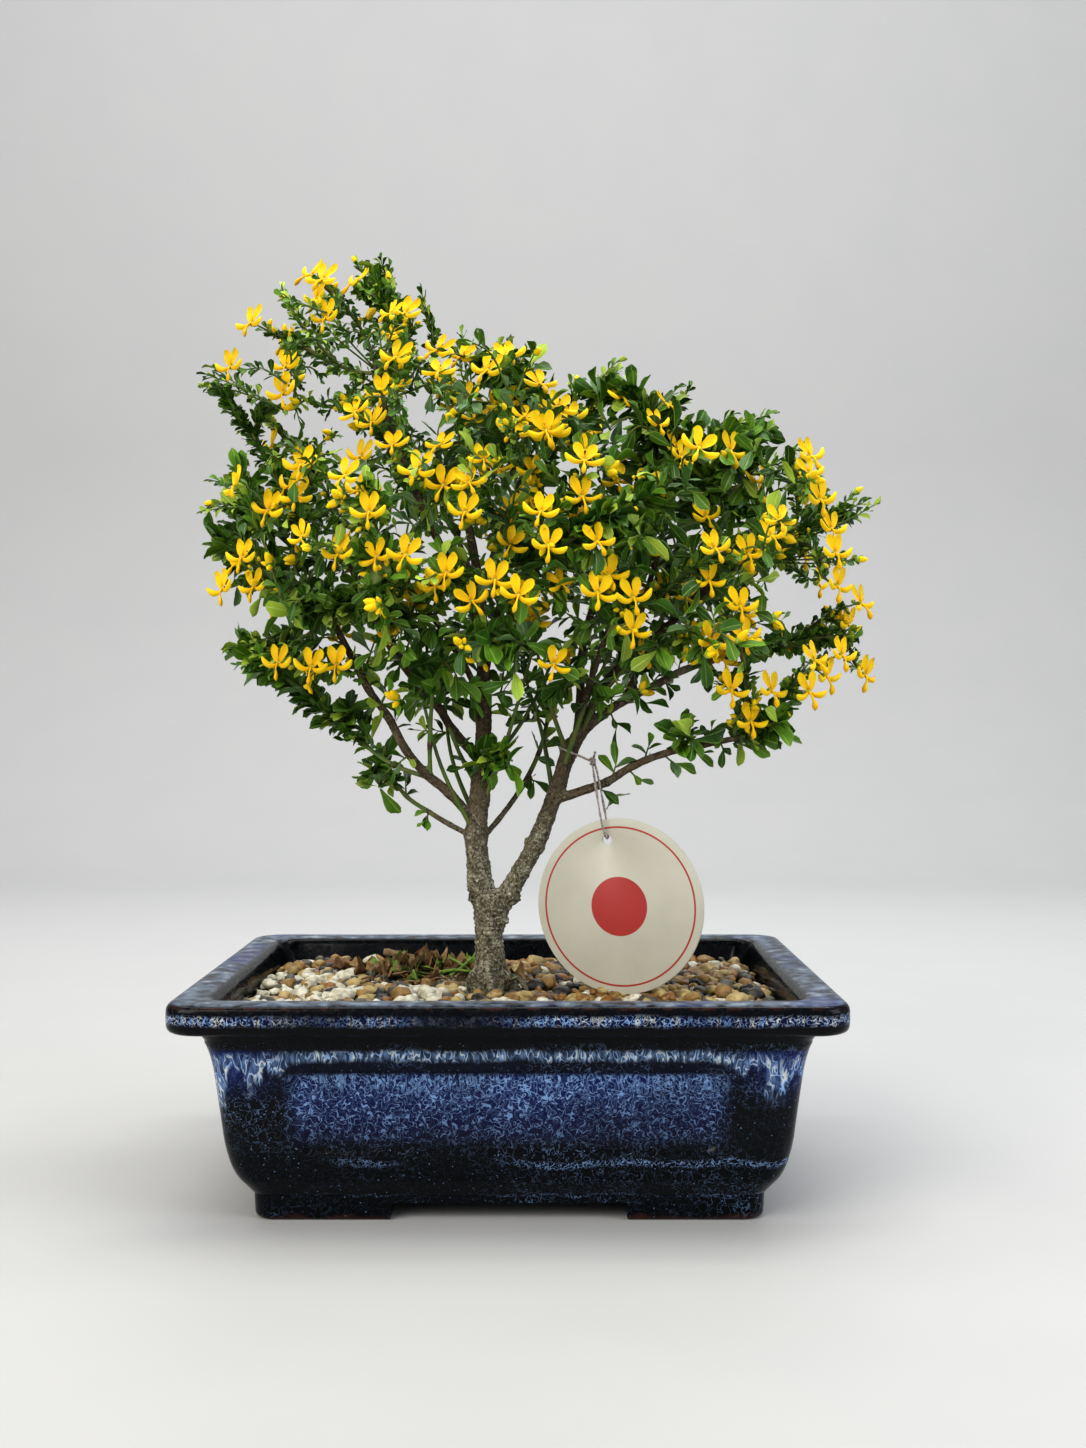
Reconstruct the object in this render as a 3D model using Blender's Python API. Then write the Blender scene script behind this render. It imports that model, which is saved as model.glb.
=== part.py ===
"""A flowering broom bonsai in a blue-glazed rectangular pot, for Blender 4.5.

Run with: blender --background --python part.py
+Z is up and -Y is the front. Lengths are written in millimetres and turned to metres where meshes are made.
"""

import math
import random

import bmesh
import bpy
from mathutils import Matrix, Vector
from mathutils.bvhtree import BVHTree

MM = 0.001
FIT = 0.3  # the gap that touching pieces keep
CLEAR = 0.35  # the least gap between foliage and anything else

# The pot: a pressed stoneware box with a flat rim, a sunk panel on each side and four corner feet.
POT_LENGTH = 203.0
POT_DEPTH = 152.0
POT_HEIGHT = 70.0
RIM_CORNER = 9.0
FLOOR_BELOW = 5.0
FLOOR_ABOVE = 11.0
FOOT_HEIGHT = 8.0
FOOT_INSET = 22.5
FOOT_WALL = 12.0
FOOT_GAP_LONG = 72.0
FOOT_GAP_SHORT = 42.0
DRAIN_RADIUS = 7.0
DRAIN_X = 46.0
PANEL_LOW, PANEL_HIGH = 22.0, 48.5
PANEL_LONG, PANEL_SHORT = 133.0, 86.0
PANEL_SUNK = 1.4
PANEL_CORNER = 9.0
PANEL_SLOPE = 1.3  # how far the panel's border slopes in
CORNER_STEPS = 3

# Height and inset from the rim's outer edge, up the outside and down the inside.
OUTSIDE = (
    (5.0, 24.0), (8.0, 22.6), (11.0, 19.6), (16.0, 16.8), (24.0, 14.8), (36.0, 13.4),
    (50.0, 11.6), (57.0, 9.6), (60.5, 7.4), (60.6, 1.8), (62.4, 0.2), (67.8, 0.0), (69.6, 1.0),
)
INSIDE = (
    (POT_HEIGHT, 3.0), (69.6, 11.2), (62.0, 14.2), (46.0, 18.7), (24.0, 21.3), (15.0, 24.0), (11.0, 30.0),
)

# What fills the pot.
SOIL_TOP = 58.0
SOIL_BOTTOM = 13.0
SCREEN_SIDE, SCREEN_THICK, SCREEN_HOLE = 24.0, 1.0, 6.0
GRAVEL_TOP = 60.6
PEBBLE_STEP = 8.8
PEBBLE_RISE = 2.6
GRAVEL_SHY = 10.0  # how far short of the pot's rim the pebbles are laid out

# The tree, in the pot's frame. Each branch: its route, and its radius at the start and the end.
TRUNK_X = -7.4
TRUNK = (
    ((TRUNK_X, 0, 38), 5.5), ((TRUNK_X, 0, 50), 7.4), ((TRUNK_X, 0, 61), 8.1), ((-7.4, 0, 65), 6.9),
    ((-7.5, 0, 68), 5.9), ((-7.7, 0, 72.5), 5.0), ((-8.0, 0, 80), 4.8), ((-7.6, 0, 85.5), 5.8), ((-7.2, 0, 91), 6.0),
    ((-9.6, 0, 97), 4.2),
)
# Surface roots: the way each leaves the trunk, in degrees round from +X, and its radius.
ROOTS = ((-28, 2.4), (60, 1.9), (135, 2.0), (205, 2.3), (272, 1.8))
ROOT_ROUTE = ((4.0, 68.0), (7.4, 65.2), (9.6, 61.5), (9.4, 56.0))  # distance from the trunk's axis, and height
STUB_HOLE = ((37.7, 6.2), (50.0, 8.1), (53.0, 12.6), (75.0, 12.6))  # height, and radius clear of the wood
BRANCHES = {
    "left_limb": ((4.7, 1.1), [(-8.2, 0, 88), (-10.9, 0, 97), (-11.6, 0, 104), (-12.4, 0, 114), (-11.3, 0, 126),
                               (-10.2, 0.6, 140), (-9.9, 1, 152), (-9.9, 1.4, 166), (-10.4, 2, 180), (-11, 3, 195),
                               (-14, 4, 214), (-18, 5, 232)]),
    "right_limb": ((3.7, 2.4), [(-5.6, 0, 88), (-2.0, -0.4, 93.5), (2.8, -1, 101.7), (7.6, -1, 110.6),
                                (11.6, -1, 120), (15.7, -1, 131.5), (18.8, -1, 141), (25, -1, 152.5)]),
    "right_rising": ((2.3, 1.0), [(24, -1, 151), (31, -2.5, 165), (40.6, -6, 175), (51.5, -10, 184),
                                  (62, -14, 196), (71, -16, 209)]),
    "right_reaching": ((2.3, 0.9), [(22.5, -1, 148), (31, 1, 155.5), (42, 5, 162), (50.4, 9, 166), (60, 13, 171),
                                    (76, 15, 176), (94, 12, 181)]),
    "right_upright": ((2.2, 1.0), [(22, -1, 147), (23.3, 3, 161), (23.5, 8, 174), (27, 14, 190), (33, 18, 207)]),
    "right_low": ((2.1, 0.9), [(14.2, -1, 126), (25.4, -4.5, 130), (32, -6.5, 132.5), (40.6, -9.5, 138),
                               (50.4, -12, 142), (63.5, -14, 145), (77.6, -15, 148)]),
    "right_front": ((1.6, 0.8), [(21.5, -1.4, 146), (25, -12, 162), (30, -24, 178), (35, -34, 193)]),
    "right_crown": ((1.5, 0.8), [(37, -4.5, 171.5), (44, -5, 192), (50, -4, 212), (55, -3, 230)]),
    "right_far": ((1.3, 0.8), [(58, -12.5, 191), (74, -17, 203), (90, -16, 212)]),
    "right_back": ((1.5, 0.8), [(38, 3.5, 160), (46, 18, 175), (53, 31, 189), (58, 40, 203)]),
    "left_low": ((2.2, 0.9), [(-13.0, 0, 119), (-21.4, -4, 128.7), (-29, -8, 135.3), (-35.5, -11, 143.5),
                              (-41, -14, 154.3), (-47.3, -17, 163.6), (-53, -19, 175), (-60, -21, 188),
                              (-69, -22, 200)]),
    "left_high": ((2.2, 0.9), [(-10.6, 0.6, 139), (-20.3, 4, 149.5), (-26, 8, 158), (-34.4, 12, 167.4),
                               (-42, 15, 177), (-50, 18, 190), (-57, 20, 206), (-62, 20, 224)]),
    "left_thin": ((1.1, 0.7), [(-27, -7, 133.6), (-39.9, -4, 138), (-51, 0, 145)]),
    "left_lowest": ((1.2, 0.7), [(-12.4, 0, 113), (-22, 4, 117.6), (-29, 6, 121.7), (-37, 8, 127), (-44, 9, 136)]),
    "left_riser": ((1.1, 0.7), [(-27.5, -7.3, 134), (-27.4, -11, 145), (-26.5, -14, 160), (-25, -17, 176)]),
    "left_inner": ((1.0, 0.7), [(-10.4, 0.4, 128), (-17, -2, 140), (-21.5, -4, 151)]),
    "middle_twig": ((1.3, 0.8), [(-12.4, 0, 111), (-5, 5, 119), (3.0, 10, 130), (9, 14, 142), (12, 17, 153)]),
    "crown_left": ((1.9, 0.9), [(-10.6, 2, 184), (-18, 0, 200), (-27, -3, 218), (-36, -4, 238), (-43, -3, 258),
                                (-47, -2, 276)]),
    "crown_back": ((1.6, 0.8), [(-10.3, 2, 178), (-12, 12, 195), (-18, 23, 213), (-26, 31, 231)]),
    "crown_middle": ((1.5, 0.8), [(-11, 3, 194), (-6, 3, 212), (1, 3, 230), (6, 3, 248)]),
    "front_left": ((1.6, 0.8), [(-9.9, 1, 158), (-16, -11, 172), (-25, -23, 186), (-36, -33, 200)]),
    "front_middle": ((1.5, 0.8), [(-9.9, 1, 166), (-6, -12, 182), (-3, -24, 196), (0, -35, 212)]),
    "back_left": ((1.4, 0.8), [(-34.4, 12, 167.4), (-43, 24, 181), (-51, 35, 196)]),
    "back_middle": ((1.5, 0.8), [(-10, 1.6, 171), (-4, 15, 185), (2, 29, 199), (6, 41, 214)]),
}

# The outermost bloom of each stem of a flowering spray. The first stem grows from the wood, the other forks from it.
FLOWERING = (
    [(-68, -4, 304), (-61, -18, 286)],
    [(-89, 0, 289), (-74, -24, 260)],
    [(-35, -16, 288), (-41, -34, 258)],
    [(-16, -22, 272), (-7, -38, 264)],
    [(9, -28, 262), (13, -44, 243)],
    [(-65, -44, 233), (-76, -36, 220)],
    [(-50, -54, 228), (-42, -60, 216)],
    [(-28, -52, 230), (-13, -60, 216)],
    [(-52, -54, 204), (-31, -60, 203)],
    [(-87, -26, 206), (-96, -14, 197)],
    [(-76, -22, 172), (-56, -30, 171)],
    [(-19, -56, 198), (3, -60, 191)],
    [(23, -52, 233), (12, -60, 206)],
    [(27, -56, 192), (38, -50, 181)],
    [(63, -52, 206), (82, -42, 211)],
    [(63, -46, 178), (70, -36, 163)],
    [(98, -20, 240), (99, -32, 224)],
    [(106, -14, 217), (106, -25, 197)],
    [(118, -4, 193), (121, 3, 169)],
    [(99, -22, 173), (110, -12, 175)],
    [(84, -28, 163), (72, -42, 189)],
    [(-88, 24, 262), (-72, 34, 246)],
    [(-60, 52, 226), (-44, 58, 212)],
    [(-86, 34, 196), (-64, 46, 186)],
    [(-20, 58, 240), (-6, 62, 222)],
    [(-40, 30, 284), (-22, 40, 270)],
    [(26, 34, 262), (40, 48, 246)],
    [(38, 58, 216), (16, 60, 200)],
    [(74, 48, 208), (66, 44, 186)],
    [(92, 34, 224), (108, 20, 202)],
)
# The furthest leaf of each stem of a leafy spray, written the same way.
LEAFY = (
    [(-50, 0, 314), (-59, -10, 299), (-42, 8, 302)],
    [(-106, 0, 272), (-88, 8, 268)],
    [(-106, -6, 217), (-98, 6, 230), (-96, -4, 246)],
    [(-93, -2, 178), (-84, 12, 186), (-100, 10, 184)],
    [(-67, 2, 158), (-60, -8, 162)],
    [(-56, 9, 133), (-48, 16, 143), (-48, 2, 123)],
    [(-3, -17, 144), (4, -14, 134), (-11, -15, 133)],
    [(2, 0, 276), (15, -8, 268)],
    [(36, -6, 273), (24, 6, 268)],
    [(56, 2, 267), (44, -14, 256), (66, -14, 254)],
    [(76, -8, 254), (91, 6, 255), (86, -22, 244)],
    [(121, 2, 227), (112, 12, 236), (106, 6, 222)],
    [(122, -8, 182), (112, 14, 184), (100, 14, 178)],
    [(95, -16, 150), (92, -26, 156), (88, -6, 156)],
    [(58, -27, 153), (68, -25, 147)],
    [(-27, -20, 176), (-16, -16, 163), (-36, -18, 164)],
    [(36, -62, 218), (48, -56, 208), (50, -50, 226)],
    [(-6, -54, 178), (10, -52, 176)],
    [(-48, -46, 188), (-66, -38, 190), (-80, -34, 188)],
    [(84, 26, 246), (58, 34, 248), (104, 26, 222)],
    [(-46, 44, 262), (-66, 30, 274), (-2, 42, 262)],
)

KNOTS = (
    ((-13.4, -0.5, 92.6), 1.8), ((-3.2, -1.5, 85.4), 2.0), ((1.0, -1.4, 92.8), 1.9), ((5.0, -1.2, 112.0), 1.3),
    ((9.8, -1.2, 109.2), 1.2), ((-15.0, -0.5, 115.4), 1.5),
)

SPRAY_STEM = (1.05, 0.8)
FORK_STEM = (0.85, 0.75)
STEM_SIDES = 3
MAIN_STEPS, FORK_STEPS = 3, 2
LEAF_LENGTH, LEAF_WIDTH, LEAF_KEEL, LEAF_ROOT = 11.0, 5.6, 0.8, 0.3
LEAVES_ON_TIP = 3
LEAF_STEP = 3.0
LEAF_REACH = 8.0  # how far the furthest leaf stands beyond its stem
BLOOM_RADIUS = 6.6
BLOOM_STEP = 8.5
BLOOMS_ON_TIP = 2  # and one on each fork behind, which gets less light
PEDICEL = 5.6
STALK = 0.42
CANOPY = Vector((4, 0, 205))  # the middle of the crown, from which blooms face out

# The hang tag and its tie.
TAG_CENTRE = Vector((35.9, -15.5, 94.0))  # before it is let down on to the pebbles
TAG_RADIUS, TAG_THICK = 29.1, 0.9
TAG_HOLE, TAG_HOLE_UP = 1.6, 22.3
TAG_TURN, TAG_LEAN = math.radians(23), math.radians(11)
TWINE = 0.45
TIE_AT, TIE_ALONG = Vector((19.6, -1, 142.5)), Vector((0.4, 0, 0.916))  # on the right limb, and the limb's direction
TIE_RADIUS, TIE_STEPS = 3.8, 7
TIE_KNOT, TIE_KNOT_RADIUS = Vector((27.1, -8.7, 139.3)), 1.15
# The strand that goes down, through the tag's hole and up: each point's distance out from the tag and above the hole.
TIE_THREAD = ((3.0, 8.2), (2.3, 2.4), (1.2, 0.7), (-0.3, 0.7), (-1.5, 2.6), (-1.8, 7.2))

COLOURS = {
    "glaze": ((0.020, 0.035, 0.120), 0.15),
    "mesh": ((0.03, 0.03, 0.03), 0.6),
    "soil": ((0.060, 0.040, 0.028), 0.95),
    "gravel": ((0.480, 0.400, 0.290), 0.8),
    "litter": ((0.190, 0.110, 0.060), 0.9),
    "bark": ((0.200, 0.180, 0.140), 0.85),
    "leaf": ((0.050, 0.150, 0.030), 0.45),
    "petal": ((0.880, 0.620, 0.010), 0.5),
    "card": ((0.660, 0.670, 0.600), 0.7),
    "twine": ((0.380, 0.350, 0.340), 0.8),
}


def clear_scene():
    for old in list(bpy.data.objects):
        bpy.data.objects.remove(old)


def material(name):
    made = bpy.data.materials.get(name)
    if made:
        return made
    made = bpy.data.materials.new(name)
    made.use_nodes = True
    colour, roughness = COLOURS[name]
    shader = made.node_tree.nodes["Principled BSDF"]
    shader.inputs["Base Color"].default_value = (*colour, 1)
    shader.inputs["Roughness"].default_value = roughness
    made.diffuse_color = (*colour, 1)
    return made


def solid(name, shape, finish="soil"):
    """An object from (points in millimetres, faces)."""
    points, faces = shape
    mesh = bpy.data.meshes.new(name)
    mesh.from_pydata([Vector(p) * MM for p in points], [], faces)
    mesh.materials.append(material(finish))
    return linked(name, mesh)


def facing_out(shape):
    """The same shape with its faces' windings made to agree and to point out."""
    mesh = bmesh.new()
    corners = [mesh.verts.new(p) for p in shape[0]]
    for face in shape[1]:
        mesh.faces.new([corners[i] for i in face])
    bmesh.ops.recalc_face_normals(mesh, faces=mesh.faces)
    mesh.verts.index_update()
    faces = [[v.index for v in face.verts] for face in mesh.faces]
    mesh.free()
    return shape[0], faces


def linked(name, data):
    made = bpy.data.objects.new(name, data)
    bpy.context.scene.collection.objects.link(made)
    return made


def shade_round(obj, degrees=38):
    obj.data.shade_smooth()
    obj.data.set_sharp_from_angle(angle=math.radians(degrees))
    return obj


def stand(obj, place):
    """Gives the object its origin at a place, in millimetres, with its shape left where it is."""
    place = Vector(place) * MM
    obj.data.transform(Matrix.Translation(-place))
    obj.location = place
    return obj


def shaped(obj):
    """The object's mesh with its modifiers applied, and the modifiers removed."""
    graph = bpy.context.evaluated_depsgraph_get()
    mesh = bpy.data.meshes.new_from_object(obj.evaluated_get(graph))
    obj.modifiers.clear()
    obj.data = mesh
    return obj


def cut(obj, cutter, operation="DIFFERENCE"):
    change = obj.modifiers.new("cut", "BOOLEAN")
    change.operation = operation
    change.solver = "EXACT"
    change.object = cutter
    shaped(obj)
    bpy.data.objects.remove(cutter)
    return obj


def fuse(name, shapes, finish, solver="MANIFOLD"):
    """One body from closed shapes that overlap: a single Boolean union on a collection."""
    first = solid(name, shapes[0], finish)
    group = bpy.data.collections.new(name + " pieces")
    bpy.context.scene.collection.children.link(group)
    for shape in shapes[1:]:
        piece = solid(name + " piece", shape, finish)
        bpy.context.scene.collection.objects.unlink(piece)
        group.objects.link(piece)
    join = first.modifiers.new("join", "BOOLEAN")
    join.operation = "UNION"
    join.solver = solver
    join.operand_type = "COLLECTION"
    join.collection = group
    shaped(first)
    for piece in list(group.objects):
        bpy.data.objects.remove(piece)
    bpy.data.collections.remove(group)
    return first


def rounded_rectangle(half_x, half_y, radius, z, steps=CORNER_STEPS):
    ring = []
    for corner in range(4):
        sx = 1 if corner in (0, 3) else -1
        sy = 1 if corner in (0, 1) else -1
        for step in range(steps + 1):
            angle = math.pi / 2 * (corner + step / steps)
            ring.append((sx * (half_x - radius) + radius * math.cos(angle),
                         sy * (half_y - radius) + radius * math.sin(angle), z))
    return ring


def loft(rings):
    """A closed skin through rings of the same count, with flat ends."""
    count = len(rings[0])
    points = [p for ring in rings for p in ring]
    faces = [list(range(count))[::-1], list(range(len(points) - count, len(points)))]
    for row in range(len(rings) - 1):
        for i in range(count):
            j = (i + 1) % count
            a, b = row * count, (row + 1) * count
            faces.append([a + i, a + j, b + j, b + i])
    return points, faces


def block(low, high):
    (x0, y0, z0), (x1, y1, z1) = low, high
    rings = [[(x0, y0, z), (x1, y0, z), (x1, y1, z), (x0, y1, z)] for z in (z0, z1)]
    return loft(rings)


def cylinder(x, y, low, high, radius, sides=20):
    def ring(z):
        turn = 2 * math.pi / sides
        return [(x + radius * math.cos(turn * i), y + radius * math.sin(turn * i), z) for i in range(sides)]

    return loft([ring(low), ring(high)])


def inset_at(profile, z):
    """How far the pot's wall stands in from the rim's outer edge at this height."""
    for (high, near), (low, far) in zip(profile, profile[1:]):
        if low <= z <= high or high <= z <= low:
            return near + (far - near) * (high - z) / (high - low)
    raise ValueError(z)


def pot_ring(z, inset):
    radius = max(4.0, RIM_CORNER - 0.12 * inset)
    return rounded_rectangle(POT_LENGTH / 2 - inset, POT_DEPTH / 2 - inset, radius, z)


def inner_ring(z, gap=FIT):
    """The outline of what fills the pot at this height, a gap short of the wall."""
    return pot_ring(z, inset_at(INSIDE, z) + gap)


def make_panel(width, reach, turn):
    """A cutter for one sunk panel, leaning as the wall does. reach is from the pot's centre to the rim's edge."""
    height = PANEL_HIGH - PANEL_LOW
    low, high = (inset_at(OUTSIDE, z) for z in (PANEL_LOW, PANEL_HIGH))
    lean = math.atan2(low - high, height)
    half_x, half_y = width / 2 - PANEL_SLOPE, height / 2 - PANEL_SLOPE
    inner = rounded_rectangle(half_x, half_y, PANEL_CORNER - PANEL_SLOPE, -PANEL_SUNK)
    rings = [inner] + [rounded_rectangle(width / 2, height / 2, PANEL_CORNER, z) for z in (0.2, 9)]
    points, faces = loft(rings)
    stand = Matrix.Translation((0, (low + high) / 2 - reach, (PANEL_LOW + PANEL_HIGH) / 2))
    stand = Matrix.Rotation(turn, 4, "Z") @ stand @ Matrix.Rotation(math.pi / 2 + lean, 4, "X")
    return [stand @ Vector(p) for p in points], faces


def make_pot():
    rings = [pot_ring(z, inset) for z, inset in OUTSIDE + INSIDE]
    pot = solid("pot", loft(rings), "glaze")
    foot = loft([pot_ring(0, FOOT_INSET + 1.2), pot_ring(1.4, FOOT_INSET + 0.2), pot_ring(FOOT_HEIGHT, FOOT_INSET)])
    feet = solid("feet", foot, "glaze")
    inner_x = POT_LENGTH / 2 - FOOT_INSET - FOOT_WALL
    inner_y = POT_DEPTH / 2 - FOOT_INSET - FOOT_WALL
    gaps = (
        block((-inner_x, -inner_y, -1), (inner_x, inner_y, FOOT_HEIGHT + 1)),
        block((-FOOT_GAP_LONG / 2, -POT_DEPTH, -1), (FOOT_GAP_LONG / 2, POT_DEPTH, FLOOR_BELOW + 0.5)),
        block((-POT_LENGTH, -FOOT_GAP_SHORT / 2, -1), (POT_LENGTH, FOOT_GAP_SHORT / 2, FLOOR_BELOW + 0.5)),
    )
    for gap in gaps:
        cut(feet, solid("gap", gap))
    cut(pot, feet, "UNION")
    for quarter in range(4):
        width, reach = (PANEL_LONG, POT_DEPTH / 2) if quarter % 2 == 0 else (PANEL_SHORT, POT_LENGTH / 2)
        cut(pot, solid("panel", make_panel(width, reach, quarter * math.pi / 2)))
    for side in (-1, 1):
        cut(pot, solid("drain", cylinder(side * DRAIN_X, 0, 0, FLOOR_ABOVE + 2, DRAIN_RADIUS)))
    return shade_round(pot)


def make_screens():
    """A square of plastic mesh over each drain hole."""
    half, side = SCREEN_SIDE / 2, SCREEN_HOLE / 2
    left = solid("drain_screen_left", block((-half, -half, 0), (half, half, SCREEN_THICK)), "mesh")
    for x in (-half / 2, half / 2):
        for y in (-half / 2, half / 2):
            cut(left, solid("hole", block((x - side, y - side, -1), (x + side, y + side, SCREEN_THICK + 1))))
    right = linked("drain_screen_right", left.data)
    for screen, x in ((left, -DRAIN_X), (right, DRAIN_X)):
        screen.location = Vector((x, 0, FLOOR_ABOVE + FIT)) * MM
    return [left, right]


def root_hole():
    """The plain hole that the root stub stands in: a cone in the soil, and wider where the roots spread."""
    sides = 12
    return loft([cylinder(TRUNK_X, 0, z, z + 1, radius, sides)[0][:sides] for z, radius in STUB_HOLE])


def make_soil():
    soil = solid("soil", loft([inner_ring(z) for z in (SOIL_BOTTOM, 24.0, 46.0, SOIL_TOP)]), "soil")
    return cut(soil, solid("hole", root_hole()))


def pebble_height(column, row):
    """Every third point of the lattice is a pebble's crown, and the rest are the gaps between pebbles."""
    draw = random.Random(column * 97 + row * 31)
    crown = (column - row) % 3 == 0
    return PEBBLE_RISE * draw.uniform(0.75, 1.35) if crown else PEBBLE_RISE * draw.uniform(-0.12, 0.22)


def make_gravel():
    """The top dressing: a layer whose face is raised into pebbles over a triangular lattice."""
    across, along = POT_LENGTH / 2 - GRAVEL_SHY, POT_DEPTH / 2 - GRAVEL_SHY
    columns = int(2 * across / PEBBLE_STEP) + 1
    lift = PEBBLE_STEP * math.sqrt(3) / 2
    rows = int(2 * along / lift) + 1
    points, faces = [], []
    for row in range(rows):
        for column in range(columns):
            x = -across + PEBBLE_STEP * (column + 0.5 * (row % 2))
            z = GRAVEL_TOP + pebble_height(column - row // 2, row)
            points.append((x, -along + lift * row, z))
    base = len(points)
    points += [(x, y, SOIL_TOP - 3) for x, y, _ in points]
    for row in range(rows - 1):
        for column in range(columns - 1):
            a = row * columns + column
            b = a + columns
            if row % 2:
                faces += [(a, a + 1, b + 1), (a, b + 1, b)]
            else:
                faces += [(a, a + 1, b), (a + 1, b + 1, b)]
    faces += [tuple(base + i for i in reversed(face)) for face in faces]
    edge = [column for column in range(columns)]
    edge += [row * columns + columns - 1 for row in range(1, rows)]
    edge += [(rows - 1) * columns + column for column in reversed(range(columns - 1))]
    edge += [row * columns for row in reversed(range(1, rows - 1))]
    for i, a in enumerate(edge):
        b = edge[(i + 1) % len(edge)]
        faces.append((a, base + a, base + b, b))
    gravel = solid("gravel", facing_out((points, faces)), "gravel")
    low, high = SOIL_TOP + FIT, 68.0
    fill = loft([inner_ring(z) for z in (low, 62.0, high)])
    cut(gravel, solid("fill", fill), "INTERSECT")
    return cut(gravel, solid("hole", root_hole()))


def frames(route):
    """Each point of a route with the two directions square to it, which turn with it and never twist."""
    side = None
    for i, point in enumerate(route):
        ahead = (route[min(i + 1, len(route) - 1)] - route[max(i - 1, 0)]).normalized()
        side = side or ahead.orthogonal()
        side = (side - ahead * side.dot(ahead)).normalized()
        yield point, side, ahead.cross(side)


def tube(points, radii, sides, twist=0.0):
    """A closed tube along a route, with flat ends."""
    rings = []
    for (point, side, over), radius in zip(frames([Vector(p) for p in points]), radii):
        turns = [twist + 2 * math.pi * k / sides for k in range(sides)]
        rings.append([point + (side * math.cos(a) + over * math.sin(a)) * radius for a in turns])
    return loft(rings)


def smooth(points, steps):
    """Points along a Catmull-Rom curve through the given ones."""
    knots = [Vector(p) for p in points]
    knots = [knots[0] * 2 - knots[1], *knots, knots[-1] * 2 - knots[-2]]
    out = []
    for a, b, c, d in zip(knots, knots[1:], knots[2:], knots[3:]):
        for step in range(steps):
            t = step / steps
            out.append(0.5 * ((2 * b) + (c - a) * t + (2 * a - 5 * b + 4 * c - d) * t ** 2
                              + (3 * b - a - 3 * c + d) * t ** 3))
    out.append(knots[-2])
    return out


def taper(count, ends):
    return [ends[0] + (ends[1] - ends[0]) * i / (count - 1) for i in range(count)]


def wood_places():
    """Where a spray may grow: (point, direction, radius, whether it is the branch's end)."""
    places = []
    for name, (ends, route) in BRANCHES.items():
        line = smooth(route, 4)
        radii = taper(len(line), ends)
        first = len(line) // 2 if name in ("left_limb", "right_limb") else len(line) // 4
        for i in range(first, len(line)):
            along = (line[i] - line[i - 1]).normalized()
            places.append((line[i], along, radii[i], i == len(line) - 1))
    return places


def make_wood():
    """The trunk, its roots and every branch, grown together as one body."""
    shapes = [tube([p for p, _ in TRUNK], [r for _, r in TRUNK], 10)]
    for degrees, radius in ROOTS:
        way = math.radians(degrees)
        route = [(TRUNK_X + math.cos(way) * out, math.sin(way) * out, z) for out, z in ROOT_ROUTE]
        shapes.append(tube(route, [radius * 0.8, radius, radius, radius * 0.9], 5))
    for ends, route in BRANCHES.values():
        sides = 8 if ends[0] > 3 else 5 if ends[0] > 2.2 else 4
        shapes.append(tube(route, taper(len(route), ends), sides, twist=0.3))
    for centre, radius in KNOTS:
        shapes.append(knot(Vector(centre), radius))
    return stand(shade_round(fuse("trunk_and_branches", shapes, "bark", "EXACT")), (TRUNK_X, 0, SOIL_TOP))


def knot(centre, radius):
    """A small knuckle, such as an old pruning scar."""
    mesh = bmesh.new()
    bmesh.ops.create_icosphere(mesh, subdivisions=1, radius=radius)
    points = [v.co + centre for v in mesh.verts]
    faces = [[v.index for v in face.verts] for face in mesh.faces]
    mesh.free()
    return points, faces


def best_seats(tip, places, count):
    """The places on the wood from which a stem would most readily grow to this tip, best first."""
    def cost(place):
        point, along, _, end = place
        way = tip - point
        lean = along.dot(way.normalized())
        return way.length * (1.35 - 0.35 * lean) + 0.7 * max(0.0, point.z - tip.z) + (0 if end else 3)

    return sorted((p for p in places if (tip - p[0]).length > 9), key=cost)[:count]


def stem_route(start, ahead, tip, bulge, steps):
    """A stem that leaves along ahead and bends over to its tip."""
    reach = (tip - start).length
    first = start + ahead * reach * 0.3
    second = start.lerp(tip, 0.68) + bulge * reach * 0.13
    out = []
    for step in range(steps + 1):
        t = step / steps
        out.append(start * (1 - t) ** 3 + first * 3 * t * (1 - t) ** 2 + second * 3 * t * t * (1 - t) + tip * t ** 3)
    return out


def main_stem(place, tip, bulge, wood):
    """The route of the stem that grows from the wood, its cut end seated just off the bark, or None."""
    point, along, radius, end = place
    way = tip - point
    ahead = along if end else (way - along * way.dot(along)).normalized()
    hit = wood.ray_cast(point + ahead * (radius + 8), -ahead)[0] or point + ahead * radius
    for step in range(12):
        start = hit + ahead * (FIT + 0.1 * step)
        route = [start, *stem_route(start + ahead * 2.0, ahead, tip, bulge, MAIN_STEPS)]
        if is_clear(stem(route, SPRAY_STEM), wood, FIT * 0.8):
            return route
    return None


def stem(route, ends):
    return tube(route, taper(len(route), ends), STEM_SIDES)


def fork_stem(main, k, tip, bulge):
    """A stem that forks from the main one below its tip."""
    start = main[-2 - k]
    lead = (main[-1 - k] - start).normalized()
    return stem_route(start, lead, tip, bulge, FORK_STEPS)


def bulges(count):
    """Ways to bow a stem: upward first, then more and more to each side."""
    out = []
    for turn in range(count):
        angle = 2.4 * turn
        spread = 0.25 * turn
        out.append(Vector((spread * math.sin(angle), spread * math.cos(angle), 1.0 - 0.1 * turn)))
    return out


def stem_end(tip, start, reach, turn):
    """Where a stem ends so that its last leaf or bloom reaches the tip: short of it, and to one side."""
    way = (tip - start).normalized()
    side = way.cross(Vector((0, 0, 1))) if abs(way.z) < 0.95 else Vector((1, 0, 0))
    away = tip - CANOPY
    side *= math.copysign(1, side.dot(away))
    return tip - (way * math.cos(turn) + side.normalized() * math.sin(turn)) * reach


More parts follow.
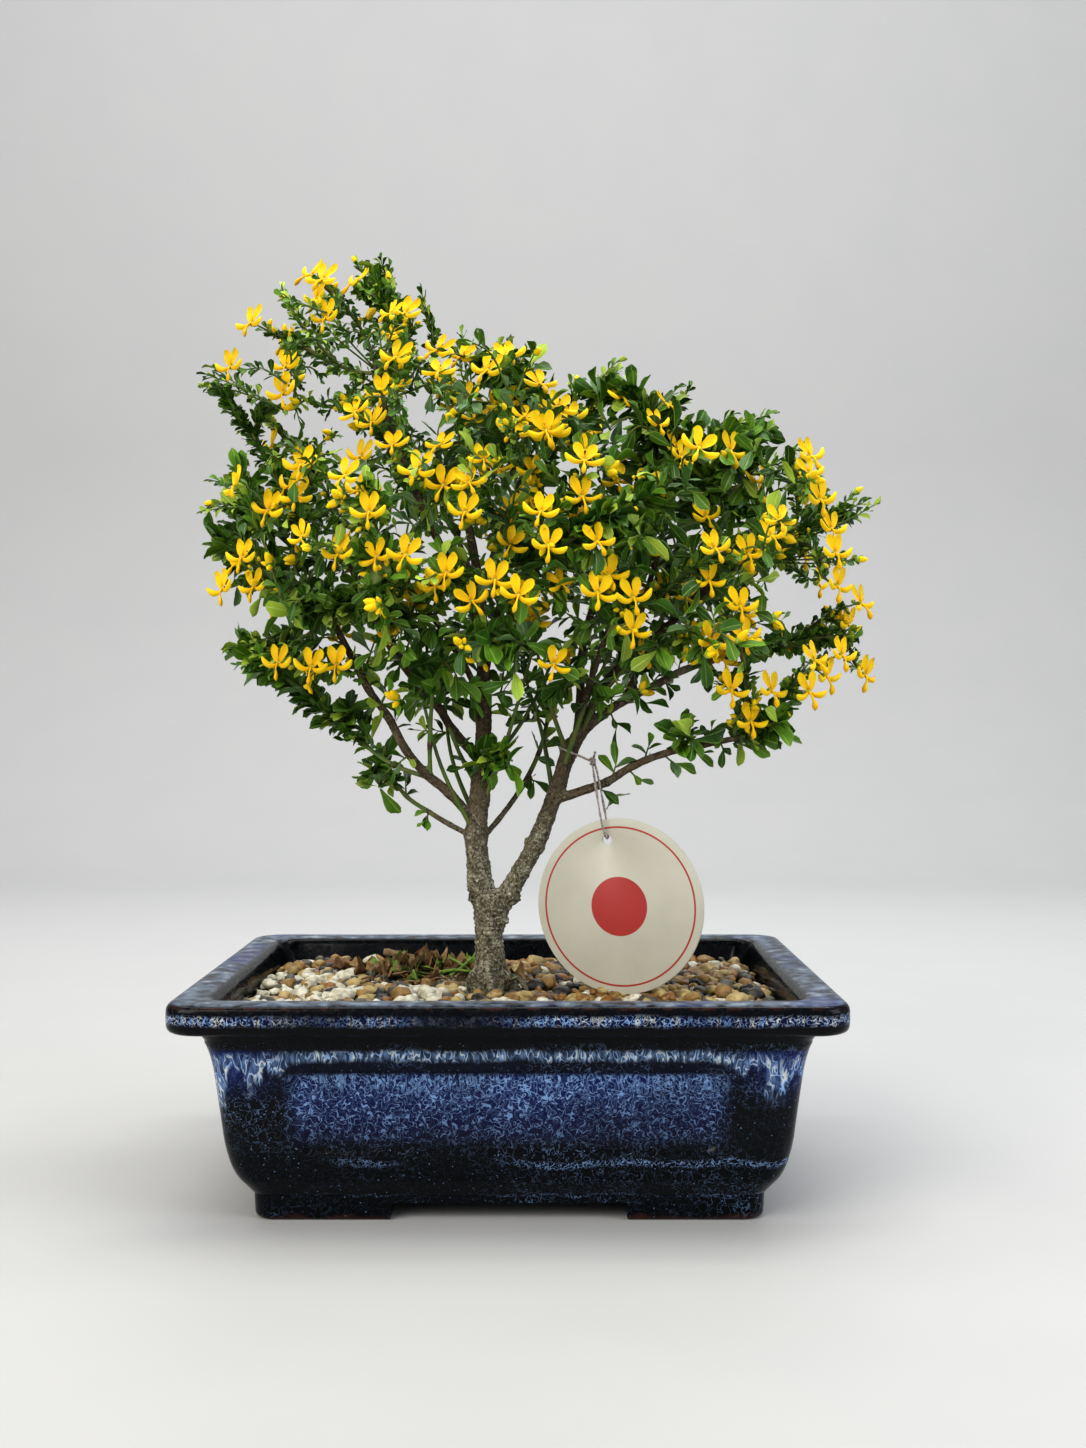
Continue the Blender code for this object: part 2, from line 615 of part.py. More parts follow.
def grow_stems(tips, reach, turn, places, wood, others):
    """The stems of one spray as (route, tip, shape), each clear of the wood and of all other pieces."""
    tips = [Vector(tip) for tip in tips]
    best = []
    for bulge in bulges(8):
        for place in best_seats(tips[0], places, 8):
            end = stem_end(tips[0], place[0], reach, turn)
            main = main_stem(place, end, bulge, wood)
            if main is None or not is_clear(stem(main, SPRAY_STEM), others):
                continue
            stems = [(main, tips[0], stem(main, SPRAY_STEM))]
            for k, tip in enumerate(tips[1:]):
                for lean in bulges(8):
                    end = stem_end(tip, main[-2 - k], reach, turn)
                    route = fork_stem(main, k, end, lean)
                    shape = stem(route, FORK_STEM)
                    if is_clear(shape, others) and is_clear(shape, wood):
                        stems.append((route, tip, shape))
                        break
            if len(stems) == len(tips):
                return stems
            best = max(best, stems, key=len)
    return best


def leaf(base, ahead, face, length, width):
    """A keeled blade: a small three-sided root, then its widest part, then a blunt tip."""
    side = ahead.cross(face).normalized()
    face = side.cross(ahead).normalized()
    root, half = LEAF_ROOT, width / 2
    places = (
        (0, -root, root / 2), (0, root, root / 2), (0, 0, -root),
        (0.64 * length, -half, 0.4), (0.64 * length, half, 0.4), (0.55 * length, 0, -LEAF_KEEL),
        (length, -0.4 * half, -0.1), (length, 0.4 * half, -0.1),
    )
    faces = (
        (0, 1, 2), (0, 3, 4, 1), (3, 6, 7, 4), (0, 2, 5), (0, 5, 3), (1, 4, 5), (1, 5, 2), (3, 5, 6), (5, 7, 6), (4, 7, 5),
    )
    return facing_out(([base + ahead * u + side * v + face * w for u, v, w in places], faces))


def back_along(route, distance):
    """The place this far back from a route's end: its point, direction and frame."""
    turned = list(frames(route))
    for i in range(len(route) - 2, -1, -1):
        span = (route[i + 1] - route[i]).length
        if distance <= span or i == 0:
            point = route[i + 1].lerp(route[i], min(distance / span, 0.9))
            return point, (route[i + 1] - route[i]).normalized(), turned[i][1], turned[i][2]
        distance -= span


def leaf_places(route, draw):
    """Base, direction, face and size of the leaves near a stem's tip, each from the next side of the stem."""
    out = []
    first = draw.randrange(STEM_SIDES)
    for i in range(LEAVES_ON_TIP):
        base, along, side, over = back_along(route, 0.9 + LEAF_STEP * i)
        turn = 2 * math.pi * (first + i + 0.5) / STEM_SIDES
        away = side * math.cos(turn) + over * math.sin(turn)
        spread = math.radians(34 + 9 * i)
        ahead = along * math.cos(spread) + away * math.sin(spread)
        face = (along - ahead * along.dot(ahead)).normalized()
        out.append((base + away * 0.08, ahead, face, draw.uniform(0.85, 1.08)))
    return out


def bloom_places(route, tip, count, draw):
    """Where each bloom's pedicel leaves the stem, and the bloom's centre, facing, roll and size."""
    out = []
    for i in range(count):
        base, along, side, over = back_along(route, 1.2 + BLOOM_STEP * i)
        outward = tip - CANOPY
        outward = Vector((outward.x, outward.y * 1.6, 0.3 * outward.z + 8)).normalized()
        centre = tip
        if i:
            last = out[-1][1] - out[-1][0]
            away = outward * 0.9 - last.normalized() * 0.6
            away = (away - along * away.dot(along)).normalized()
            centre = base + (away + along * 0.5).normalized() * PEDICEL
        way = (centre - base).normalized()
        facing = (outward + way * 0.7).normalized()
        out.append((base, centre, facing, draw.uniform(-0.3, 0.3), draw.uniform(0.92, 1.06)))
    return out


# A bloom's five petals, round from the right wing: each one's notch and then its tip or outer corners, as the angle in
# degrees, and the radius and how far forward it stands as shares of the bloom's radius.
PETALS = (
    ((-38, 0.50, 0.04), (4, 1.04, 0.24)),
    ((32, 0.58, 0.0), (46, 1.00, -0.10), (74, 1.08, -0.14)),
    ((90, 0.52, 0.0), (106, 1.08, -0.14), (134, 1.00, -0.10)),
    ((148, 0.58, 0.0), (176, 1.04, 0.24)),
    ((218, 0.50, 0.04), (257, 0.98, 0.42), (283, 0.98, 0.42)),
)
NECK = (30, 150, 270)  # the three sides of the pedicel, where it widens into the bloom
NOTCH_EVERY = 5  # outline points that close on each side of the neck


def bloom(base, centre, facing, roll, size):
    """A pea flower on its pedicel: two upright ears, two side wings and a keel that hangs forward."""
    up = Vector((0, 0, 1))
    up = (up - facing * up.dot(facing)).normalized()
    up.rotate(Matrix.Rotation(roll, 3, facing))
    right = up.cross(facing)
    radius = BLOOM_RADIUS * size

    def around(middle, angle, reach, forward=0.0):
        a = math.radians(angle)
        return middle + right * math.cos(a) * reach + up * math.sin(a) * reach + facing * forward

    points = [around(centre, a, r * radius, f * radius) for petal in PETALS for a, r, f in petal]
    count = len(points)
    points += [around(centre - facing * 1.1, a, STALK * 1.2) for a in NECK]
    points += [around(base, a, STALK) for a in NECK]
    points.append(centre + facing * 0.8)
    faces = []
    for i in range(count):
        j = (i + 1) % count
        faces += [(i, j, count + 6), (j, i, count + i // NOTCH_EVERY)]
    for k in range(3):
        m = (k + 1) % 3
        faces += [(NOTCH_EVERY * m, count + k, count + m), (count + k, count + m, count + 3 + m, count + 3 + k)]
    faces.append((count + 3, count + 4, count + 5))
    return facing_out((points, faces))


def samples(shape):
    """Points over a shape's faces, to measure its distance from others with."""
    points, faces = shape
    out = [Vector(p) for p in points]
    for face in faces:
        corners = [Vector(points[i]) for i in face]
        middle = sum(corners, Vector()) / len(corners)
        out.append(middle)
        out += [(a + b) / 2 for a, b in zip(corners, corners[1:] + corners[:1])]
    return out


def tree_of(shapes):
    points, faces = [], []
    for shape in shapes:
        start = len(points)
        points += [Vector(p) for p in shape[0]]
        faces += [[start + i for i in face] for face in shape[1]]
    return BVHTree.FromPolygons(points, faces)


def is_clear(shape, others, gap=CLEAR):
    if tree_of([shape]).overlap(others):
        return False
    for point in samples(shape):
        if others.find_nearest(point, gap)[0] is not None:
            return False
    return True


def shape_of(obj):
    points = [obj.matrix_basis @ v.co / MM for v in obj.data.vertices]
    return points, [list(p.vertices) for p in obj.data.polygons]


def grow_blooms(route, tip, count, draw, wood, others, sisters):
    """The blooms along one stem: each is pushed out and swung round its pedicel until it has room."""
    out = []
    for base, centre, facing, roll, size in bloom_places(route, tip, count, draw):
        for tries in range(24):
            push = facing * 0.8 * (tries % 4)
            swing = Matrix.Rotation((-1) ** tries * 0.35 * (tries // 4), 3, "Z")
            middle = base + swing @ (centre - base + push)
            look = swing @ facing
            head = bloom(middle - look * 1.6, middle, look, roll, size)
            flower = bloom(base, middle, look, roll, size)
            if is_clear(flower, wood) and is_clear(flower, others) and not crosses(head, sisters + out):
                out.append(flower)
                break
    return out


def grow_leaves(route, draw, wood, others, sisters):
    """The leaves near one stem's tip: each is swung aside until it has room."""
    out = []
    for base, ahead, face, size in leaf_places(route, draw):
        for swing in (0, 0.3, -0.3, 0.6, -0.6, 0.9, -0.9):
            turned = ahead.copy()
            turned.rotate(Matrix.Rotation(swing, 3, face))
            length, width = LEAF_LENGTH * size, LEAF_WIDTH * size
            blade = leaf(base, turned, face, length, width)
            beyond = leaf(base + turned * 2.0, turned, face, length - 2.0, width)
            if is_clear(blade, wood) and is_clear(blade, others) and not crosses(beyond, sisters + out):
                out.append(blade)
                break
    return out


def crosses(shape, sisters):
    return bool(sisters) and bool(tree_of([shape]).overlap(tree_of(sisters)))


def grow(name, tips, places, wood, placed, flowering, number):
    """One spray, fused: its stems first, then each leaf or bloom that has room."""
    others = tree_of(placed)
    draw = random.Random(number)
    reach, turn = (PEDICEL, math.radians(55)) if flowering else (LEAF_REACH, math.radians(15))
    stems = grow_stems(tips, reach, turn, places, wood, others)
    shapes = [shape for _, _, shape in stems]
    for k, (route, tip, _) in enumerate(stems):
        if flowering:
            count = 1 if k and tip.y > 0 else BLOOMS_ON_TIP
            shapes += grow_blooms(route, tip, count, draw, wood, others, shapes)
        else:
            shapes += grow_leaves(route, draw, wood, others, shapes)
    placed += shapes
    return stand(fuse(name, shapes, "petal" if flowering else "leaf"), stems[0][0][0])


def tag_frame():
    """The tag's own right, up and outward directions."""
    right = Vector((math.cos(TAG_TURN), -math.sin(TAG_TURN), 0))
    out = Vector((-math.sin(TAG_TURN), -math.cos(TAG_TURN), 0))
    up = Vector((0, 0, 1))
    lean = Matrix.Rotation(TAG_LEAN, 3, out)
    return lean @ right, lean @ up, out


def make_tag(ground):
    """A card disc that leans against its tie, let down until its lower edge stands just off the pebbles."""
    right, up, out = tag_frame()
    rings = [cylinder(0, 0, z, z + 1, TAG_RADIUS, 32)[0][:32] for z in (0, TAG_THICK)]
    disc = solid("hang_tag", loft(rings), "card")
    cut(disc, solid("hole", cylinder(0, TAG_HOLE_UP, -1, TAG_THICK + 1, TAG_HOLE, 12)))
    disc.rotation_euler = Matrix((right, up, out)).transposed().to_euler()
    disc.location = TAG_CENTRE * MM
    step = Vector((0, 0, 0.1)) * MM
    while True:
        disc.location -= step
        if not is_clear(shape_of(disc), ground, FIT):
            disc.location += step
            return shade_round(disc)


def make_tie(tag):
    """A length of twine: knotted round the right limb, it runs down, through the tag's hole and up again."""
    _, up, out = tag_frame()
    hole = tag.location / MM + up * TAG_HOLE_UP
    front = Vector((0, -1, 0))
    side = TIE_ALONG.cross(front)
    reach = TIE_KNOT - TIE_AT
    knot_angle = math.atan2(reach.dot(side), reach.dot(front))
    grip = math.acos(TIE_RADIUS / reach.length)
    ring = []
    for step in range(TIE_STEPS + 1):
        angle = knot_angle + grip + 2 * (math.pi - grip) * step / TIE_STEPS
        ring.append(TIE_AT + (front * math.cos(angle) + side * math.sin(angle)) * TIE_RADIUS)
    thread = [hole + out * forward + up * above for forward, above in TIE_THREAD]
    first, last = TIE_KNOT + Vector((0.2, -0.4, -3.0)), TIE_KNOT + Vector((1.4, 0.6, -3.2))
    loop = [TIE_KNOT, *ring, TIE_KNOT]
    strands = [TIE_KNOT, first, *thread, last, TIE_KNOT]
    end = [TIE_KNOT, TIE_KNOT + Vector((0.8, -0.8, 3.4))]
    shapes = [tube(route, [TWINE] * len(route), 4) for route in (loop, strands, end)]
    shapes.append(knot(TIE_KNOT, TIE_KNOT_RADIUS))
    return stand(fuse("tag_tie", shapes, "twine", "EXACT"), TIE_KNOT)


def make_litter(ground):
    """Fallen leaves and a dead twig that lie tangled on the gravel beside the trunk."""
    draw = random.Random(11)
    spine = smooth([(-46, 31, 2.5), (-34, 25, 1.0), (-21, 16, 0.5)], 2)
    second = smooth([(-38, 38, 0.6), (-30, 26, 1.2), (-25, 13, 0.4)], 2)
    shapes = [tube(spine, taper(len(spine), (1.3, 0.9)), 4), tube(second, taper(len(second), (0.9, 0.7)), 3)]
    for i in range(6):
        line = spine if i % 3 else second
        base = line[1 + i % (len(line) - 2)]
        angle = draw.uniform(0, 2 * math.pi)
        ahead = Vector((math.cos(angle), math.sin(angle), draw.uniform(0.0, 0.35))).normalized()
        face = Vector((draw.uniform(-0.5, 0.5), draw.uniform(-0.5, 0.5), 1)).normalized()
        shapes.append(leaf(base - ahead * 0.4, ahead, face, draw.uniform(8, 11), draw.uniform(4.5, 6)))
    raised = GRAVEL_TOP
    while True:
        lifted = [([Vector(p) + Vector((0, 0, raised)) for p in shape[0]], shape[1]) for shape in shapes]
        if all(is_clear(shape, ground, FIT) for shape in lifted):
            return stand(fuse("leaf_litter", lifted, "litter"), lifted[0][0][0])
        raised += 0.15


def centre(stump, pieces):
    """Moves the empty that carries the pieces so that the whole object's box is centred on the origin."""
    points = [p for piece in pieces for p in shape_of(piece)[0]]
    for axis in (0, 1):
        reach = [p[axis] for p in points]
        stump.location[axis] = -(min(reach) + max(reach)) / 2 * MM


def main():
    clear_scene()
    pot, soil, gravel, wood = make_pot(), make_soil(), make_gravel(), make_wood()
    timber = tree_of([shape_of(wood)])
    ground = tree_of([shape_of(gravel), shape_of(wood)])
    tag = make_tag(ground)
    tie = make_tie(tag)
    made = [pot, *make_screens(), soil, gravel, wood, make_litter(ground), tag, tie]
    placed = [shape_of(tag), shape_of(tie)]
    places = wood_places()
    for i, tips in enumerate(FLOWERING, 1):
        made.append(grow(f"flower_spray_{i:02d}", tips, places, timber, placed, True, i))
    for i, tips in enumerate(LEAFY, 1):
        made.append(grow(f"leaf_spray_{i:02d}", tips, places, timber, placed, False, 50 + i))
    bonsai = linked("bonsai", None)
    for piece in made:
        piece.parent = bonsai
    centre(bonsai, made)


main()
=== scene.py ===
"""Dresses a packed broom bonsai: glazed pot, pebbles, bark, leaves, yellow blooms, card tag and twine.

Shapes are worked out in millimetres in the pot's own frame, whose origin is under the pot's middle, and
piece() turns them into metres in the frame of the CAD model."""
import math
import random

import bmesh
import bpy
import numpy as np
from bpy.props import FloatProperty, FloatVectorProperty, PointerProperty
from mathutils import Matrix, Vector, noise
from mathutils.kdtree import KDTree


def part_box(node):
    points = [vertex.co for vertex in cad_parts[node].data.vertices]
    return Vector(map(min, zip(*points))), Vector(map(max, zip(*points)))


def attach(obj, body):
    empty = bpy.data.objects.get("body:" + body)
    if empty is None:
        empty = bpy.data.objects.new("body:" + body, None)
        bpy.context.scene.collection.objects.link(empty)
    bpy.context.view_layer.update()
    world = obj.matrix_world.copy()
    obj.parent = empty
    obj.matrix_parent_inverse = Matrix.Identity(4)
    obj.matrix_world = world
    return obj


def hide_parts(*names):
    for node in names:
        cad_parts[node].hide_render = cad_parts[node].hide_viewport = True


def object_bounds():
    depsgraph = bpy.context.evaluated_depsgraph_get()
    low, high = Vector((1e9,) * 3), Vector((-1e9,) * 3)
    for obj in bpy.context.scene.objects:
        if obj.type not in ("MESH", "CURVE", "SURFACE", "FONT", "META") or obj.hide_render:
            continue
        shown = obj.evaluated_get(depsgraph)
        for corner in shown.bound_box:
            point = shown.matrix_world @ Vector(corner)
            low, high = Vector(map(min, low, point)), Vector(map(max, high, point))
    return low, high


bl_info = {
    "name": "Broom Bonsai Looks",
    "version": (1, 0, 0),
    "blender": (4, 5, 0),
    "location": "3D View > Sidebar > Bonsai",
    "description": "Dresses the packed bonsai with glaze, pebbles, bark, leaves and blooms",
    "category": "Object",
}

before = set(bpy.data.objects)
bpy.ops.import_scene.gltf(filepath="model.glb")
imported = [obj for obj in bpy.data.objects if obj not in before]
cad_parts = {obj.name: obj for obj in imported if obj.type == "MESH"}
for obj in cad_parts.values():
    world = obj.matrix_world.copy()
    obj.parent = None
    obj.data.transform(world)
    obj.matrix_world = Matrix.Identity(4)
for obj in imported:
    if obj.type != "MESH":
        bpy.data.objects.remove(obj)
CAD_BOX = [list(corner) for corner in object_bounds()]
MM = 0.001
POT_LOW, POT_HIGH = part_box("pot")
MIDDLE = np.array(((POT_LOW.x + POT_HIGH.x) / 2, (POT_LOW.y + POT_HIGH.y) / 2, 0.0))
UP = Vector((0, 0, 1))

# The photograph's height and focal length in its pixels, and the camera's place from the pot's middle.
PICTURE_HEIGHT, FOCAL_LENGTH, SENSOR = 1448, 1509, 36
CAMERA_PLACE = Vector((0.0104, -0.515, 0.152))

# The pot, as in the CAD: half its length and depth, and its wall's profile as (height, inset).
HALF_LENGTH, HALF_DEPTH = 101.5, 76.0
RIM_CORNER = 9.0
WALL = ((5, 24), (8, 22.6), (11, 19.6), (16, 16.8), (24, 14.8), (36, 13.4), (50, 11.6), (57, 9.6), (60.3, 7.5))
RIM = (
    (60.55, 6.6), (60.6, 4.4), (60.62, 2.4), (60.8, 1.5), (61.3, 0.75), (62.0, 0.3), (63.0, 0.08), (65.0, 0.0),
    (67.0, 0.03), (68.2, 0.2), (69.0, 0.6), (69.6, 1.3), (69.9, 2.2), (70.0, 3.4), (69.95, 5.6), (69.85, 8.0),
    (69.7, 9.8), (69.35, 11.0), (68.6, 11.7), (67.0, 12.4), (62.0, 14.2), (54, 16.4), (46, 18.7), (34, 20.1),
    (24, 21.3), (15, 24), (11, 30),
)
# The sunk panels, the feet and the ways between them, and the floor with its two drain holes.
PANEL_LOW, PANEL_HIGH, PANEL_LONG, PANEL_SHORT = 22.0, 48.5, 133.0, 86.0
PANEL_SUNK, PANEL_CORNER, PANEL_SLOPE = 1.4, 9.0, 1.7
FOOT_INSET, FOOT_WALL, FOOT_HEIGHT, FOOT_GAP_LONG, FOOT_GAP_SHORT = 22.5, 12.0, 8.0, 72.0, 42.0
FLOOR_BELOW, DRAIN_X, DRAIN_RADIUS = 5.0, 46.0, 7.0
# The inner wall near the gravel: its inset at a height, how much it leans in below that, and its corners.
INNER_INSET, INNER_HEIGHT, INNER_LEAN, INNER_CORNER = 14.2, 62.0, 0.28, 7.0
GRAVEL_TOP = 60.6
GRAVEL_HALF_LENGTH, GRAVEL_HALF_DEPTH = 88, 62

# The wood, as in the CAD: routes in millimetres, with the radius at each point or at both ends.
TRUNK_X = -7.4
TRUNK = (
    ((TRUNK_X, 0, 50), 7.4), ((TRUNK_X, 0, 61), 8.1), ((-7.4, 0, 65), 6.9), ((-7.5, 0, 68), 5.9),
    ((-7.7, 0, 72.5), 5.05), ((-8.0, 0, 80), 4.8), ((-7.6, 0, 85.5), 5.7), ((-7.3, 0, 90), 6.0),
    ((-8.6, 0, 95), 4.6),
)
ROOTS = ((-28, 2.4), (60, 1.9), (135, 2.0), (205, 2.3), (272, 1.8))
ROOT_ROUTE = ((4.0, 68.0), (7.4, 65.2), (9.6, 61.5), (9.4, 56.0))
# An arched root that stands clear of the pebbles at the trunk's front.
ROOT_ARCH = ((-3.5, -6.5, 61.5), (-2.6, -8.2, 65.2), (0.6, -9.2, 67.2), (3.6, -9.4, 65.6), (5.2, -9.2, 61.2))
BRANCHES = {
    "left_limb": ((4.7, 1.1), [(-8.2, 0, 88), (-10.9, 0, 97), (-11.6, 0, 104), (-12.4, 0, 114),
                               (-11.3, 0, 126), (-10.2, 0.6, 140), (-9.9, 1, 152), (-9.9, 1.4, 166),
                               (-10.4, 2, 180), (-11, 3, 195), (-14, 4, 214), (-18, 5, 232)]),
    "right_limb": ((3.7, 2.4), [(-5.6, 0, 88), (-2.0, -0.4, 93.5), (2.8, -1, 101.7), (7.6, -1, 110.6),
                                (11.6, -1, 120), (15.7, -1, 131.5), (18.8, -1, 141), (25, -1, 152.5)]),
    "right_rising": ((2.3, 1.0), [(24, -1, 151), (31, -2.5, 165), (40.6, -6, 175), (51.5, -10, 184),
                                  (62, -14, 196), (71, -16, 209)]),
    "right_reaching": ((2.3, 0.9), [(22.5, -1, 148), (31, 1, 155.5), (42, 5, 162), (50.4, 9, 166),
                                    (60, 13, 171), (76, 15, 176), (94, 12, 181)]),
    "right_upright": ((2.2, 1.0), [(22, -1, 147), (23.3, 3, 161), (23.5, 8, 174), (27, 14, 190),
                                   (33, 18, 207)]),
    "right_low": ((2.1, 0.9), [(14.2, -1, 126), (25.4, -4.5, 130), (32, -6.5, 132.5), (40.6, -9.5, 138),
                               (50.4, -12, 142), (63.5, -14, 145), (77.6, -15, 148)]),
    "right_front": ((1.6, 0.8), [(21.5, -1.4, 146), (25, -12, 162), (30, -24, 178), (35, -34, 193)]),
    "right_crown": ((1.5, 0.8), [(37, -4.5, 171.5), (44, -5, 192), (50, -4, 212), (55, -3, 230)]),
    "right_far": ((1.3, 0.8), [(58, -12.5, 191), (74, -17, 203), (90, -16, 212)]),
    "right_back": ((1.5, 0.8), [(38, 3.5, 160), (46, 18, 175), (53, 31, 189), (58, 40, 203)]),
    "left_low": ((2.2, 0.9), [(-13.0, 0, 119), (-21.4, -4, 128.7), (-29, -8, 135.3), (-35.5, -11, 143.5),
                              (-41, -14, 154.3), (-47.3, -17, 163.6), (-53, -19, 175), (-60, -21, 188),
                              (-69, -22, 200)]),
    "left_high": ((2.2, 0.9), [(-10.6, 0.6, 139), (-20.3, 4, 149.5), (-26, 8, 158), (-34.4, 12, 167.4),
                               (-42, 15, 177), (-50, 18, 190), (-57, 20, 206), (-62, 20, 224)]),
    "left_thin": ((1.1, 0.7), [(-27, -7, 133.6), (-39.9, -4, 138), (-51, 0, 145)]),
    "left_lowest": ((1.2, 0.7), [(-12.4, 0, 113), (-22, 4, 117.6), (-29, 6, 121.7), (-37, 8, 127),
                                 (-44, 9, 136)]),
    "left_riser": ((1.1, 0.7), [(-27.5, -7.3, 134), (-27.4, -11, 145), (-26.5, -14, 160), (-25, -17, 176)]),
    "left_inner": ((1.0, 0.7), [(-10.4, 0.4, 128), (-17, -2, 140), (-21.5, -4, 151)]),
    "middle_twig": ((1.3, 0.8), [(-12.4, 0, 111), (-5, 5, 119), (3.0, 10, 130), (9, 14, 142),
                                 (12, 17, 153)]),
    "crown_left": ((1.9, 0.9), [(-10.6, 2, 184), (-18, 0, 200), (-27, -3, 218), (-36, -4, 238),
                                (-43, -3, 258), (-47, -2, 276)]),
    "crown_back": ((1.6, 0.8), [(-10.3, 2, 178), (-12, 12, 195), (-18, 23, 213), (-26, 31, 231)]),
    "crown_middle": ((1.5, 0.8), [(-11, 3, 194), (-6, 3, 212), (1, 3, 230), (6, 3, 248)]),
    "front_left": ((1.6, 0.8), [(-9.9, 1, 158), (-16, -11, 172), (-25, -23, 186), (-36, -33, 200)]),
    "front_middle": ((1.5, 0.8), [(-9.9, 1, 166), (-6, -12, 182), (-3, -24, 196), (0, -35, 212)]),
    "back_left": ((1.4, 0.8), [(-34.4, 12, 167.4), (-43, 24, 181), (-51, 35, 196)]),
    "back_middle": ((1.5, 0.8), [(-10, 1.6, 171), (-4, 15, 185), (2, 29, 199), (6, 41, 214)]),
}
# The heights between which the rings rise and fade round the trunk's fork.
FORK_START, FORK_END = (74, 80), (92, 99)
KNOTS = (
    ((-13.4, -0.5, 92.6), 1.8), ((-3.2, -1.5, 85.4), 2.0), ((1.0, -1.4, 92.8), 1.9),
    ((5.0, -1.2, 112.0), 1.3), ((9.8, -1.2, 109.2), 1.2), ((-15.0, -0.5, 115.4), 1.5),
)
# The crown's outline from the front, as (x, z), inside which the extra shoots end.
CROWN = (
    (-50, 303), (-66, 293), (-84, 278), (-92, 264), (-84, 252), (-92, 222), (-90, 198), (-84, 180),
    (-60, 170), (-45, 156), (-24, 146), (0, 145), (24, 147), (42, 157), (60, 167), (88, 172), (100, 178),
    (96, 196), (93, 210), (98, 228), (90, 243), (80, 252), (72, 249), (55, 262), (36, 268), (22, 264),
    (2, 270), (-14, 273), (-34, 288),
)
# Half the crown's depth where it is deepest, that place's height, and half its height.
CROWN_DEPTH, CROWN_DEEPEST, CROWN_HALF_HEIGHT = 62, 210, 108
# Zones of the crown, seen from the front, as (left, right, low, high): where leaves are fine, where the
# photograph sees through the crown and where it is closed, and where many leaves are young or hoary.
FINE_ZONES = ((-math.inf, -28, 232, math.inf), (88, math.inf, -math.inf, math.inf))
OPEN_ZONE = (-math.inf, -45, -math.inf, 186)
CLOSED_ZONE = (-46, 6, 222, 262)
YOUNG_ZONE = (-58, 4, 192, 240)
HOARY_ZONE = (-40, 6, 214, 268)
# Where thin sprigs end that stand out of the crown's outline.
SPRIGS = (
    (-105, 4, 272), (-77, -8, 298), (-50, 6, 309), (-42, -4, 306), (-66, 14, 300), (56, 4, 267),
    (119, -2, 227), (115, 12, 184), (3, -6, 276), (35, 8, 274), (74, -8, 256), (89, 6, 254),
    (-92, 2, 176), (-81, -12, 172), (-104, -6, 224), (-100, 10, 236), (110, -12, 208), (103, 10, 244),
    (-18, 4, 281), (20, 10, 271), (-30, -8, 292), (-12, 54, 262), (34, 54, 240), (-48, 50, 272),
    (66, 48, 214), (-76, 44, 232), (-2, -56, 246), (8, 56, 206),
)
# Thin leafy whips that rise from the limbs under the crown: where each leaves the wood, bends and ends.
WHIPS = (
    ((-11.5, 0, 121), (-2, -6, 146), (9, -10, 184)), ((-10.5, 0, 134), (4, 5, 154), (13, 8, 172)),
    ((16.5, -1, 134), (24, -10, 157), (33, -14, 176)), ((14, -1, 127), (10, 6, 149), (3, 10, 172)),
    ((-11.5, 0, 117), (-21, 6, 140), (-24, 8, 164)), ((-11.5, 0, 112), (-24, -7, 138), (-32, -12, 170)),
    ((19, -1, 141), (13, -6, 158), (8, -9, 178)), ((22.5, -1, 148), (29, -12, 160), (43, -18, 177)),
)

# The CAD bloom's outline, by which it is found: angle, and radius and way forward over the bloom's radius.
PETALS = (
    (-38, 0.50, 0.04), (4, 1.04, 0.24), (32, 0.58, 0.0), (46, 1.00, -0.10), (74, 1.08, -0.14),
    (90, 0.52, 0.0), (106, 1.08, -0.14), (134, 1.00, -0.10), (148, 0.58, 0.0), (176, 1.04, 0.24),
    (218, 0.50, 0.04), (257, 0.98, 0.42), (283, 0.98, 0.42),
)
# The CAD leaf, by which it is found: its length and its tip's width over its width, the way from its widest
# place to its tip over its length, and its least and most width.
LEAF_LONG, LEAF_TIP_SHARE, LEAF_TIP_REACH = 11 / 5.6, 0.4, 0.36
LEAF_LEAST, LEAF_MOST = 4.4, 6.4
# A finished bloom's size over the CAD bloom's.
BLOOM_SHARE = 0.92
# The tag with its hole, its turn and lean, and the twine's grip on the limb, its knot and its way through the
# hole as (forward, up).
TAG_RADIUS, TAG_THICK, TAG_HOLE, TAG_HOLE_UP = 29.1, 0.9, 1.6, 22.3
TAG_TURN, TAG_LEAN = math.radians(23), math.radians(11)
TAG_CENTRE = Vector((35.9, -15.5, 91.7))
TIE_AT, TIE_ALONG, TIE_RADIUS = Vector((19.6, -1, 142.5)), Vector((0.4, 0, 0.916)), 3.8
TIE_KNOT = Vector((27.1, -8.7, 139.3))
TIE_THREAD = ((3.0, 8.2), (2.3, 2.4), (1.2, 0.7), (-0.3, 0.7), (-1.5, 2.6), (-1.8, 7.2))


def linear(code):
    """An sRGB hex colour as Blender's linear RGBA."""
    parts = [int(code[i:i + 2], 16) / 255 for i in (1, 3, 5)]
    return (*(c / 12.92 if c <= 0.04045 else ((c + 0.055) / 1.055) ** 2.4 for c in parts), 1.0)


def colour(name, note, code):
    return FloatVectorProperty(name=name, description=note, subtype="COLOR", size=4, min=0, max=1,
                               default=linear(code))


def length(name, note, millimetres, low, high):
    return FloatProperty(name=name, description=note, unit="LENGTH", default=millimetres * MM, min=low * MM,
                         max=high * MM, precision=5)


def percentage(name, note, usual, low, high):
    return FloatProperty(name=name, description=note, subtype="PERCENTAGE", default=usual, min=low, max=high)


